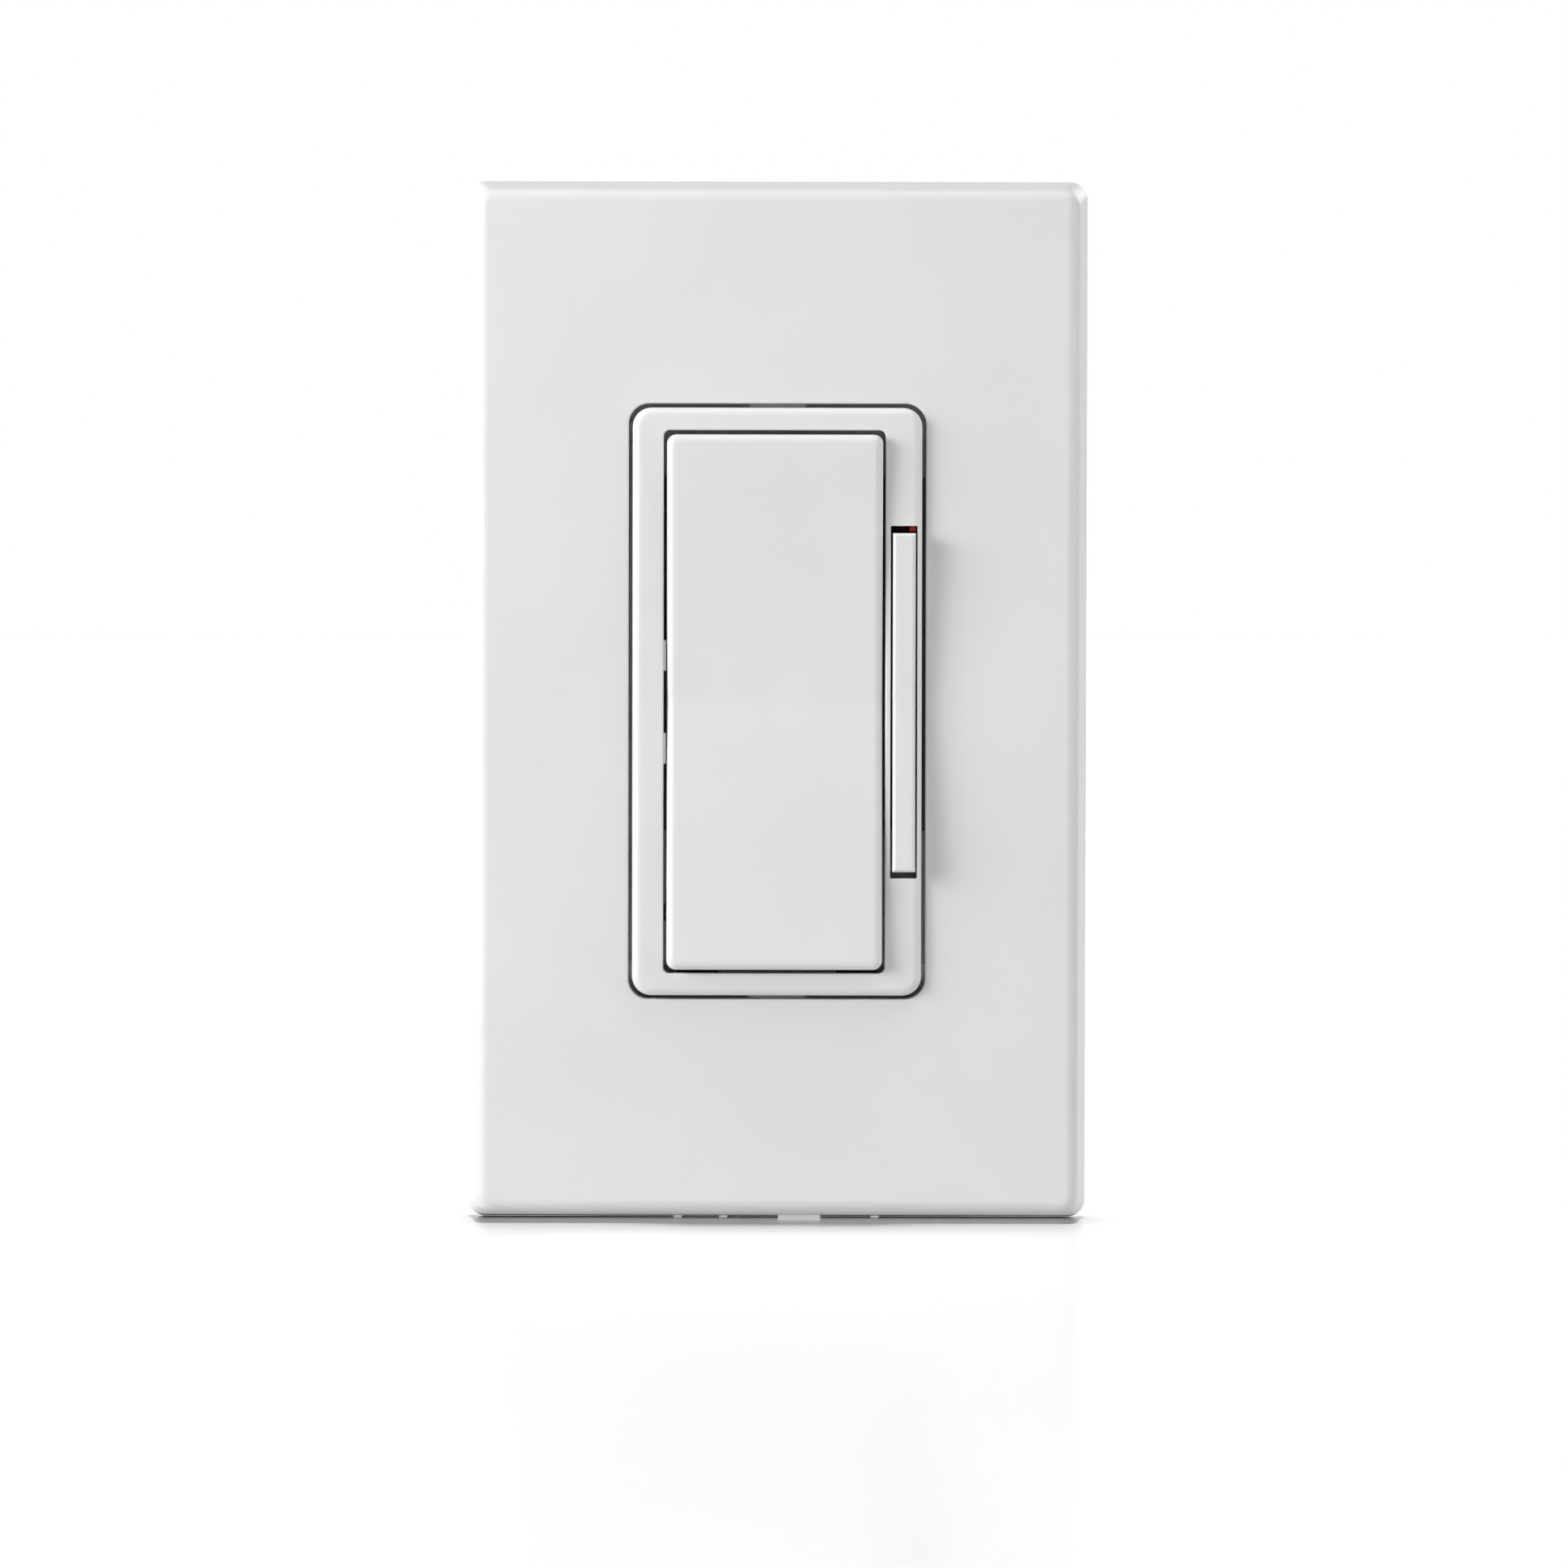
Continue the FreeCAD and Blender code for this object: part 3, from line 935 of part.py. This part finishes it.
NODES = {
    "wallplate_cover": wallplate_cover, "wallplate_subplate": wallplate_subplate,
    "subplate_screws": subplate_screws, "mounting_strap": mounting_strap,
    "device_screws": device_screws, "screw_retainers": screw_retainers, "ground_screw": ground_screw,
    "face_frame": face_frame, "paddle": paddle, "paddle_pivot_pin": paddle_pivot_pin,
    "dim_bar": dim_bar, "bar_pivot_pin": bar_pivot_pin, "switch_chassis": switch_chassis,
    "tact_switch_covers": tact_switch_covers, "tact_switch_bases": tact_switch_bases,
    "control_board": control_board, "microcontroller": microcontroller,
    "board_header": board_header, "header_pins": header_pins, "air_gap_tab": air_gap_tab,
    "air_gap_bridge": air_gap_bridge, "air_gap_contacts": air_gap_contacts,
    "back_housing": back_housing, "rating_label": rating_label, "housing_screws": housing_screws,
    "terminal_plates": terminal_plates, "terminal_clamps": terminal_clamps,
    "terminal_screws_brass": terminal_screws_brass, "terminal_screw_black": terminal_screw_black,
    "terminal_screw_silver": terminal_screw_silver, "power_board": power_board,
    "film_capacitor": film_capacitor, "electrolytic_capacitor": electrolytic_capacitor,
    "varistor": varistor, "fuse": fuse, "resistors": resistors, "bridge_rectifier": bridge_rectifier,
    "choke_core": choke_core, "choke_winding": choke_winding, "insulating_film": insulating_film,
    "triac": triac, "triac_pad": triac_pad, "triac_bushing": triac_bushing, "triac_screw": triac_screw,
}

STEMS = {
    "paddle_stem_upper": SWITCHES[0], "paddle_stem_lower": SWITCHES[1],
    "bar_stem_upper": SWITCHES[2], "bar_stem_lower": SWITCHES[3],
}

os.makedirs("parts", exist_ok=True)
for name, make in NODES.items():
    make().exportStep(f"parts/{name}.step")
for name, place in STEMS.items():
    stem(*place).exportStep(f"parts/{name}.step")
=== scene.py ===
"""A decorator-style wall dimmer in its screwless wallplate, standing on a glossy white floor."""
import bmesh
import bpy
import json
import math
from mathutils import Euler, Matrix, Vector

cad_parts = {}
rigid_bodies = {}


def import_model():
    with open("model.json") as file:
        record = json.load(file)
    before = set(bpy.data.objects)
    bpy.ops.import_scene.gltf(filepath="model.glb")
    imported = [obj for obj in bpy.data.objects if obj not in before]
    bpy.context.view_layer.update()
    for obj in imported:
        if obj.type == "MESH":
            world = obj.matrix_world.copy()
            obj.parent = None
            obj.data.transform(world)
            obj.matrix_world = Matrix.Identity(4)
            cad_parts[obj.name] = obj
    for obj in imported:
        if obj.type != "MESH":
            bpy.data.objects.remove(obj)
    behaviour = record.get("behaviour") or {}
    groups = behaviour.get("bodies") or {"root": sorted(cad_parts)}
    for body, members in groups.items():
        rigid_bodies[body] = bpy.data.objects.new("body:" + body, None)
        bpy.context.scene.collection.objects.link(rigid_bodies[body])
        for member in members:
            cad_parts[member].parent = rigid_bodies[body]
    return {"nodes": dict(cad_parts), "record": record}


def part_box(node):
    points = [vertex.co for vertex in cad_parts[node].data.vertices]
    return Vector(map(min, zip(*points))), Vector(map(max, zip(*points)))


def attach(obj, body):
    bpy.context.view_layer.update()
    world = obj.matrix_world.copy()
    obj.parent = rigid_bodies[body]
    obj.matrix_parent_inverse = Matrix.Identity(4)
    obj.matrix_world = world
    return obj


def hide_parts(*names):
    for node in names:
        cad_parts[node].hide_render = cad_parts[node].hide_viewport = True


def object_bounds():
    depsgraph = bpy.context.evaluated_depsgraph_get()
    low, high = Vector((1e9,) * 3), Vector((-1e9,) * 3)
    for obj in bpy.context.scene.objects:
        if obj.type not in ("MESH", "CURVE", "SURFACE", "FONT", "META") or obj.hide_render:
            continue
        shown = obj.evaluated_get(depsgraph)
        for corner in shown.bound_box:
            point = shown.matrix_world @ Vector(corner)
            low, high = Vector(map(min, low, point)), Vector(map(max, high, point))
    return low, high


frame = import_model()
cad_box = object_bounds()
NODES = frame["nodes"]
MM = 0.001

# Camera: square on to the plate, a little above its middle
CAMERA_DISTANCE, CAMERA_HEIGHT = 600 * MM, 20 * MM
CAMERA_PITCH, CAMERA_ROLL = math.radians(1.293), math.radians(-0.115)
LENS, SENSOR, SHIFT_X, SHIFT_Y = 121.66, 36.0, 0.0042, -0.09

# Floor: just under the object and lit by its own sun. An upward fill just above it lights the object.
FLOOR_Z = cad_box[0].z - 0.02 * MM
FLOOR_SIZE, FILL_SIZE, FILL_LIFT = 6.0, 2.0, 0.35 * MM
FLOOR_SUN, FLOOR_SUN_ANGLE, FLOOR_FILL = 3.7, math.radians(12), 7.0
FLOOR_TONES, FLOOR_ROUGHNESS = (0.90, 0.92), (0.20, 0.23)
FLOOR_PATCH, FLOOR_GLOSS_PATCH, FLOOR_WAVE, FLOOR_WAVE_DEPTH = 0.5, 0.08, 0.03, 0.002 * MM

# Soft boxes round the object: (position in metres, size, power in watts)
SOFT_BOXES = {
    "left_wide": ((-1.0, -0.49, 0.25), 0.6, 6.4),
    "left_front": ((-0.85, -0.72, 0.3), 0.4, 3.9),
    "left_high": ((-0.8, -0.35, 0.7), 0.3, 0.6),
    "left_near": ((-0.28, -0.13, 0.10), 0.12, 0.21),
    "top": ((0.0, -0.3, 1.2), 0.6, 2.3),
    "right_high": ((0.5, -0.3, 1.0), 0.5, 3.4),
    "right_low": ((1.2, -0.5, 0.2), 0.6, 4.1),
    "right_front": ((0.8, -1.0, 0.2), 0.6, 0.7),
    "back_left": ((-0.9, 1.2, 0.5), 0.8, 9.0),
    "back_right": ((0.9, 1.0, 0.7), 0.8, 6.0),
}

# What reflections see, from dead ahead of the object (0) to straight behind it (1): (place, grey)
ROOM = ((0.26, 0.08), (0.44, 0.65), (0.975, 0.65), (0.99, 1.0))

# Rating label: a table of blank fields, its outer rules a margin in from the label's edges
LABEL_MARGIN, LABEL_COLUMNS, LABEL_ROWS, LABEL_RULE = 1.0 * MM, 2, 5, 0.09 * MM
LABEL_ROUGHNESS, LABEL_INK = 0.4, 0.12

# Device screws: number 6, 32 threads to the inch, behind pan heads
SCREW_ZS = (41.67 * MM, -41.67 * MM)
SCREW_BEARING, SCREW_NECK_END, SCREW_TIP = -1.3 * MM, 0.0, 23.0 * MM
SCREW_HEAD_R, SCREW_HEAD_T, SCREW_NECK_R = 3.4 * MM, 2.1 * MM, 1.5 * MM
SCREW_TOP, SCREW_HEAD_ROUND = SCREW_BEARING - SCREW_HEAD_T, 0.45 * SCREW_HEAD_T
THREAD_MAJOR, THREAD_MINOR, THREAD_PITCH = 1.75 * MM, 1.32 * MM, 0.794 * MM
SCREW_SIDES, THREAD_ROWS, HEAD_STEPS = 36, 10, 6
# A ridge's profile over one pitch: a peak and a slope, cut off at 0 and 1, so crest and root are flat
RIDGE_PEAK, RIDGE_SLOPE = 1.6, 4.0
# How much the root narrows at both ends, where the ridge fades out
END_TAPER = 0.25 * (THREAD_MAJOR - THREAD_MINOR)
SHARP_ANGLE = math.radians(35)
# Half sizes of the boxes that cut the slot and the cross stroke of each head
SCREW_RECESSES = ((4.0 * MM, 0.95 * MM, 0.42 * MM), (0.42 * MM, 1.3 * MM, 1.6 * MM))


# Material building

# Most of a noise texture's values lie in this span, and ramps run over it
NOISE_SPAN = (0.3, 0.7)
WHITE = (0.80, 0.805, 0.795)
FLOW_SIZE, GLOSS_SIZE, GLOSS_SWING = 18 * MM, 6 * MM, 0.03
SINK_SIZE, SINK_DEPTH = 9 * MM, 0.004 * MM
METAL_PATCH, METAL_STAIN, METAL_GLOSS_SWING = 5 * MM, 0.08, 0.07
METAL_GRAIN, METAL_GRAIN_DEPTH = 0.3 * MM, 0.003 * MM


class Shader:
    """A Principled material and short ways to add nodes to it."""

    def __init__(self, name, metallic=0.0):
        self.material = bpy.data.materials.new(name)
        self.material.use_nodes = True
        self.tree = self.material.node_tree
        self.bsdf = self.tree.nodes["Principled BSDF"]
        self.bsdf.inputs["Metallic"].default_value = metallic
        self.coordinates = self.tree.nodes.new("ShaderNodeTexCoord").outputs["Object"]

    def link(self, output, socket):
        self.tree.links.new(output, self.bsdf.inputs[socket] if isinstance(socket, str) else socket)

    def stretched(self, scale):
        """Object coordinates scaled per axis, for grain that runs one way."""
        mapping = self.tree.nodes.new("ShaderNodeMapping")
        mapping.inputs["Scale"].default_value = scale
        self.link(self.coordinates, mapping.inputs["Vector"])
        return mapping.outputs["Vector"]

    def noise(self, size, detail=3.0, roughness=0.5, vector=None):
        """Noise whose features are about size metres across."""
        node = self.tree.nodes.new("ShaderNodeTexNoise")
        node.inputs["Scale"].default_value = 1 / size
        node.inputs["Detail"].default_value = detail
        node.inputs["Roughness"].default_value = roughness
        self.link(vector or self.coordinates, node.inputs["Vector"])
        return node.outputs["Fac"]

    def ramp(self, factor, stops):
        node = self.tree.nodes.new("ShaderNodeValToRGB")
        ramp = node.color_ramp
        while len(ramp.elements) < len(stops):
            ramp.elements.new(0.5)
        for element, (position, colour) in zip(ramp.elements, stops):
            element.position = position
            element.color = (*colour, 1.0)
        self.link(factor, node.inputs["Fac"])
        return node.outputs["Color"]

    def two_tone(self, factor, colour, swing):
        """The colour, darker by the swing where the factor is low and lighter where it is high."""
        low, high = NOISE_SPAN
        return self.ramp(factor, [(low, tinted(colour, 1 - swing)), (high, tinted(colour, 1 + swing))])

    def grey_ramp(self, factor, low, high):
        """A value that runs from low to high over the middle of the factor's range."""
        node = self.tree.nodes.new("ShaderNodeMapRange")
        node.inputs["From Min"].default_value, node.inputs["From Max"].default_value = NOISE_SPAN
        node.inputs["To Min"].default_value, node.inputs["To Max"].default_value = low, high
        self.link(factor, node.inputs["Value"])
        return node.outputs["Result"]

    def bump(self, heights):
        """Stacked bumps from (height output, depth in metres) pairs."""
        normal = None
        for height, depth in heights:
            node = self.tree.nodes.new("ShaderNodeBump")
            node.inputs["Strength"].default_value = 1.0
            node.inputs["Distance"].default_value = depth
            self.link(height, node.inputs["Height"])
            if normal:
                self.link(normal, node.inputs["Normal"])
            normal = node.outputs["Normal"]
        self.link(normal, "Normal")


def tinted(colour, factor):
    return tuple(min(1.0, channel * factor) for channel in colour)


def calculate(tree, operation, *values):
    """A math node fed by numbers or other nodes' outputs."""
    node = tree.nodes.new("ShaderNodeMath")
    node.operation = operation
    for socket, value in zip(node.inputs, values):
        if isinstance(value, (int, float)):
            socket.default_value = value
        else:
            tree.links.new(value, socket)
    return node.outputs["Value"]


def plastic(name, colour, roughness, grain=0.25 * MM, grain_depth=0.002 * MM, mottle=0.02):
    """Moulded plastic: faint flow mottling, uneven gloss, a fine mould texture and slight sinks."""
    shader = Shader(name)
    flow = shader.noise(FLOW_SIZE, detail=4)
    shader.link(shader.two_tone(flow, colour, mottle), "Base Color")
    gloss = shader.noise(GLOSS_SIZE, detail=5, roughness=0.6)
    shader.link(shader.grey_ramp(gloss, roughness - GLOSS_SWING, roughness + GLOSS_SWING), "Roughness")
    texture = shader.noise(grain, detail=2)
    sinks = shader.noise(SINK_SIZE, detail=1)
    shader.bump([(texture, grain_depth), (sinks, SINK_DEPTH)])
    return shader.material


def rating_label(name, colour):
    """Label film printed with a ruled table of blank fields."""
    material = plastic(name, colour, LABEL_ROUGHNESS, mottle=0.03)
    tree = material.node_tree
    low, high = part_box("rating_label")
    mapping = tree.nodes.new("ShaderNodeMapping")
    mapping.vector_type = "TEXTURE"
    mapping.inputs["Location"].default_value = (low.x + LABEL_MARGIN, 0, low.z + LABEL_MARGIN)
    mapping.inputs["Rotation"].default_value = (math.pi / 2, 0, 0)
    rules = tree.nodes.new("ShaderNodeTexBrick")
    rules.offset = 0.0
    width, height = high.x - low.x - 2 * LABEL_MARGIN, high.z - low.z - 2 * LABEL_MARGIN
    rules.inputs["Scale"].default_value = 1.0
    rules.inputs["Brick Width"].default_value = width / LABEL_COLUMNS
    rules.inputs["Row Height"].default_value = height / LABEL_ROWS
    rules.inputs["Mortar Size"].default_value = LABEL_RULE
    rules.inputs["Mortar Smooth"].default_value = 0.0
    rules.inputs["Mortar"].default_value = (*tinted(colour, LABEL_INK), 1.0)
    tree.links.new(tree.nodes["Texture Coordinate"].outputs["Object"], mapping.inputs["Vector"])
    tree.links.new(mapping.outputs["Vector"], rules.inputs["Vector"])
    base = tree.nodes["Principled BSDF"].inputs["Base Color"]
    film = base.links[0].from_socket
    tree.links.new(film, rules.inputs["Color1"])
    tree.links.new(film, rules.inputs["Color2"])
    tree.links.new(rules.outputs["Color"], base)
    return material


def metal(name, colour, roughness, grain_axis=(1, 1, 1)):
    """Plated or bare metal: fine grain, which grain_axis can draw out one way, and a patchy tone."""
    shader = Shader(name, metallic=1.0)
    patches = shader.noise(METAL_PATCH, detail=6, roughness=0.65)
    shader.link(shader.two_tone(patches, colour, METAL_STAIN), "Base Color")
    lines = shader.noise(METAL_GRAIN, detail=4, roughness=0.7, vector=shader.stretched(grain_axis))
    gloss = shader.grey_ramp(lines, roughness - METAL_GLOSS_SWING, roughness + METAL_GLOSS_SWING)
    shader.link(gloss, "Roughness")
    shader.bump([(lines, METAL_GRAIN_DEPTH)])
    return shader.material


def slot_materials():
    """One procedural material for each material slot of the record."""
    return {
        "wallplate_plastic": plastic("wallplate_plastic", WHITE, 0.36),
        "subplate_plastic": plastic("subplate_plastic", tinted(WHITE, 0.95), 0.5),
        "bezel_plastic": plastic("bezel_plastic", WHITE, 0.33),
        "rocker_plastic": plastic("rocker_plastic", WHITE, 0.32),
        "strap_steel": metal("strap_steel", (0.60, 0.60, 0.58), 0.34, grain_axis=(1, 1, 0.06)),
        "screw_steel": metal("screw_steel", (0.66, 0.66, 0.64), 0.28),
        "painted_screw": plastic("painted_screw", tinted(WHITE, 0.98), 0.32, grain=0.5 * MM),
        "green_screw": metal("green_screw", (0.10, 0.38, 0.16), 0.35),
        "black_screw": metal("black_screw", (0.06, 0.06, 0.065), 0.4),
        "fibre": plastic("fibre", (0.16, 0.11, 0.07), 0.7, grain=0.4 * MM,
                         grain_depth=0.02 * MM, mottle=0.15),
        "housing_plastic": plastic("housing_plastic", (0.030, 0.031, 0.033), 0.5, grain=0.35 * MM,
                                   grain_depth=0.012 * MM, mottle=0.08),
        "label_film": rating_label("label_film", (0.62, 0.62, 0.60)),
        "chassis_plastic": plastic("chassis_plastic", (0.62, 0.62, 0.60), 0.45),
        "switch_metal": metal("switch_metal", (0.68, 0.68, 0.67), 0.3),
        "switch_plastic": plastic("switch_plastic", (0.03, 0.03, 0.03), 0.5),
        "stem_plastic": plastic("stem_plastic", (0.05, 0.05, 0.05), 0.45),
        "circuit_board": plastic("circuit_board", (0.02, 0.15, 0.06), 0.32, mottle=0.12),
        "chip_epoxy": plastic("chip_epoxy", (0.03, 0.03, 0.032), 0.6, grain_depth=0.01 * MM),
        "connector_plastic": plastic("connector_plastic", (0.03, 0.03, 0.032), 0.45),
        "pin_metal": metal("pin_metal", (0.80, 0.70, 0.42), 0.25),
        "air_gap_plastic": plastic("air_gap_plastic", (0.55, 0.02, 0.02), 0.35),
        "contact_brass": metal("contact_brass", (0.78, 0.58, 0.27), 0.3),
        "clamp_steel": metal("clamp_steel", (0.58, 0.58, 0.56), 0.38),
        "brass_screw": metal("brass_screw", (0.80, 0.60, 0.26), 0.27),
        "film_cap_case": plastic("film_cap_case", (0.70, 0.52, 0.06), 0.35),
        "can_sleeve": plastic("can_sleeve", (0.02, 0.03, 0.06), 0.25),
        "varistor_coat": plastic("varistor_coat", (0.04, 0.11, 0.38), 0.3, grain=1.5 * MM,
                                 grain_depth=0.03 * MM),
        "fuse_body": plastic("fuse_body", (0.66, 0.62, 0.52), 0.4),
        "resistor_coat": plastic("resistor_coat", (0.52, 0.38, 0.24), 0.4),
        "choke_coat": plastic("choke_coat", (0.10, 0.24, 0.13), 0.5, grain=0.6 * MM, grain_depth=0.03 * MM),
        "copper_wire": metal("copper_wire", (0.66, 0.28, 0.12), 0.25),
        "insulator": plastic("insulator", (0.72, 0.71, 0.62), 0.35),
        "thermal_pad": plastic("thermal_pad", (0.42, 0.50, 0.55), 0.7),
        "bush_plastic": plastic("bush_plastic", (0.72, 0.70, 0.64), 0.45),
    }


def dress_nodes(materials):
    """Give every CAD node its slot's material."""
    for part in frame["record"]["subparts"]:
        mesh = NODES[part["node"]].data
        mesh.materials.clear()
        mesh.materials.append(materials[part["material_slot"]])


# Threaded device screws


def thread_radius(y, turn):
    """The thread's surface at a depth and a part of a turn, fading out over one pitch at both ends."""
    phase = (y / THREAD_PITCH - turn) % 1.0
    ridge = max(0.0, min(1.0, RIDGE_PEAK - RIDGE_SLOPE * abs(phase - 0.5)))
    from_end = min(y - SCREW_NECK_END, SCREW_TIP - y)
    fade = max(0.0, min(1.0, from_end / THREAD_PITCH))
    root = THREAD_MINOR - END_TAPER * (1.0 - fade)
    return root + (THREAD_MAJOR - root) * ridge * fade


def screw_rings():
    """(depth, radii round the ring) from the head's top to the tip."""
    rings = []
    for step in range(HEAD_STEPS + 1):
        angle = math.pi / 2 * step / HEAD_STEPS
        radius = SCREW_HEAD_R - SCREW_HEAD_ROUND * (1 - math.sin(angle))
        depth = SCREW_TOP + SCREW_HEAD_ROUND * (1 - math.cos(angle))
        rings.append((depth, [radius] * SCREW_SIDES))
    shank = ((SCREW_BEARING, SCREW_HEAD_R), (SCREW_BEARING, SCREW_NECK_R), (SCREW_NECK_END, SCREW_NECK_R))
    for depth, radius in shank:
        rings.append((depth, [radius] * SCREW_SIDES))
    rows = int((SCREW_TIP - SCREW_NECK_END) / THREAD_PITCH * THREAD_ROWS)
    for row in range(1, rows + 1):
        depth = SCREW_NECK_END + (SCREW_TIP - SCREW_NECK_END) * row / rows
        radii = [thread_radius(depth, side / SCREW_SIDES) for side in range(SCREW_SIDES)]
        rings.append((depth, radii))
    return rings


def add_screw(mesh, z):
    """Add one screw, at a height, as a closed skin over its rings."""
    angles = [2 * math.pi * side / SCREW_SIDES for side in range(SCREW_SIDES)]
    loops = []
    for depth, radii in screw_rings():
        points = [(r * math.cos(a), depth, z + r * math.sin(a)) for a, r in zip(angles, radii)]
        loops.append([mesh.verts.new(point) for point in points])
    for low, high in zip(loops, loops[1:]):
        for side in range(SCREW_SIDES):
            following = (side + 1) % SCREW_SIDES
            mesh.faces.new((low[side], low[following], high[following], high[side]))
    mesh.faces.new(loops[0][::-1])
    mesh.faces.new(loops[-1])


def cutter_box(name, centre, half):
    """A box to cut a recess with."""
    mesh = bmesh.new()
    bmesh.ops.create_cube(mesh, size=2.0)
    bmesh.ops.scale(mesh, vec=half, verts=mesh.verts)
    bmesh.ops.translate(mesh, vec=centre, verts=mesh.verts)
    data = bpy.data.meshes.new(name)
    mesh.to_mesh(data)
    mesh.free()
    cutter = bpy.data.objects.new(name, data)
    bpy.context.scene.collection.objects.link(cutter)
    return cutter


def apply_modifiers(piece):
    """Bake a piece's modifiers into its mesh."""
    evaluated = piece.evaluated_get(bpy.context.evaluated_depsgraph_get())
    baked = bpy.data.meshes.new_from_object(evaluated)
    piece.modifiers.clear()
    piece.data = baked


def device_screws(material):
    """Both device screws as one piece, in place of the plain ones."""
    mesh = bmesh.new()
    for z in SCREW_ZS:
        add_screw(mesh, z)
    bmesh.ops.recalc_face_normals(mesh, faces=mesh.faces)
    data = bpy.data.meshes.new("threaded_device_screws")
    mesh.to_mesh(data)
    mesh.free()
    piece = bpy.data.objects.new("threaded_device_screws", data)
    bpy.context.scene.collection.objects.link(piece)
    cutters = []
    for z in SCREW_ZS:
        for half in SCREW_RECESSES:
            cutters.append(cutter_box("screw_recess", (0, SCREW_TOP, z), half))
    for cutter in cutters:
        cut = piece.modifiers.new("recess", "BOOLEAN")
        cut.object = cutter
        cut.solver = "EXACT"
    apply_modifiers(piece)
    for cutter in cutters:
        bpy.data.objects.remove(cutter)
    piece.data.shade_smooth()
    piece.data.set_sharp_from_angle(angle=SHARP_ANGLE)
    piece.data.materials.append(material)
    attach(piece, "device")
    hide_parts("device_screws")


# Stage, lights and camera


def floor_material():
    """Glossy white, a little uneven in tone, gloss and level."""
    shader = Shader("floor_gloss")
    stops = [(place, (tone, tone, tone)) for place, tone in zip(NOISE_SPAN, FLOOR_TONES)]
    shader.link(shader.ramp(shader.noise(FLOOR_PATCH, detail=2), stops), "Base Color")
    gloss = shader.noise(FLOOR_GLOSS_PATCH, detail=3)
    shader.link(shader.grey_ramp(gloss, *FLOOR_ROUGHNESS), "Roughness")
    shader.bump([(shader.noise(FLOOR_WAVE, detail=2), FLOOR_WAVE_DEPTH)])
    return shader.material


def floor():
    """The floor, which bounces no light onto the object: the fill does that."""
    bpy.ops.mesh.primitive_plane_add(size=FLOOR_SIZE, location=(0, 0, FLOOR_Z))
    plane = bpy.context.object
    plane.name = "floor"
    plane.data.materials.append(floor_material())
    plane.visible_diffuse = False
    return plane


def lamp(kind, name, position, aim=(0, 0, 0)):
    """A light that points from its position to its aim."""
    data = bpy.data.lights.new(name, kind)
    light = bpy.data.objects.new(name, data)
    bpy.context.scene.collection.objects.link(light)
    light.location = position
    light.rotation_euler = (Vector(aim) - Vector(position)).to_track_quat("-Z", "Y").to_euler()
    return light


def soft_light(name, position, size, power):
    """A square soft box aimed at the object's middle."""
    light = lamp("AREA", name, position)
    light.data.size, light.data.energy = size, power
    return light


def lights():
    """The soft boxes and the upward fill. They light every mesh made so far, so not the floor."""
    subject = bpy.data.collections.new("subject")
    for piece in bpy.data.objects:
        if piece.type == "MESH":
            subject.objects.link(piece)
    made = [soft_light(name, *box) for name, box in SOFT_BOXES.items()]
    below = lamp("AREA", "floor_fill", (0, 0, FLOOR_Z + FILL_LIFT), aim=(0, 0, 1))
    below.data.size, below.data.energy = FILL_SIZE, FLOOR_FILL
    below.visible_camera = below.visible_glossy = False
    for light in made + [below]:
        light.light_linking.receiver_collection = subject


def floor_light(floor_piece):
    """A sun overhead that whitens the floor, and leaves the object alone."""
    light = lamp("SUN", "floor_light", (0, 0, 1))
    light.data.energy, light.data.angle = FLOOR_SUN, FLOOR_SUN_ANGLE
    lit = bpy.data.collections.new("floor_only")
    lit.objects.link(floor_piece)
    light.light_linking.receiver_collection = lit


def world():
    """White to the camera, dark to diffuse light, and a room to reflections: dim in front, white behind."""
    made = bpy.data.worlds.new("studio")
    made.use_nodes = True
    tree = made.node_tree
    background = tree.nodes["Background"]
    background.inputs["Color"].default_value = (1, 1, 1, 1)
    axes = tree.nodes.new("ShaderNodeSeparateXYZ")
    tree.links.new(tree.nodes.new("ShaderNodeTexCoord").outputs["Generated"], axes.inputs["Vector"])
    room = tree.nodes.new("ShaderNodeValToRGB")
    while len(room.color_ramp.elements) < len(ROOM):
        room.color_ramp.elements.new(0.5)
    for element, (position, grey) in zip(room.color_ramp.elements, ROOM):
        element.position = position
        element.color = (grey, grey, grey, 1.0)
    path = tree.nodes.new("ShaderNodeLightPath")
    facing = calculate(tree, "MULTIPLY_ADD", axes.outputs["Y"], 0.5, 0.5)
    tree.links.new(facing, room.inputs["Fac"])
    matt = calculate(tree, "SUBTRACT", 1.0, path.outputs["Is Diffuse Ray"])
    reflected = calculate(tree, "MULTIPLY", room.outputs["Color"], matt)
    strength = calculate(tree, "MAXIMUM", reflected, path.outputs["Is Camera Ray"])
    tree.links.new(strength, background.inputs["Strength"])
    bpy.context.scene.world = made


def camera():
    data = bpy.data.cameras.new("camera")
    data.lens, data.sensor_width = LENS, SENSOR
    data.shift_x, data.shift_y = SHIFT_X, SHIFT_Y
    made = bpy.data.objects.new("camera", data)
    bpy.context.scene.collection.objects.link(made)
    made.location = (0, -CAMERA_DISTANCE, CAMERA_HEIGHT)
    made.rotation_euler = Euler((math.pi / 2 - CAMERA_PITCH, CAMERA_ROLL, 0))
    bpy.context.scene.camera = made


camera()
world()
finishes = slot_materials()
dress_nodes(finishes)
device_screws(finishes["screw_steel"])
lights()
floor_light(floor())
bpy.context.scene.view_settings.view_transform = "Standard"
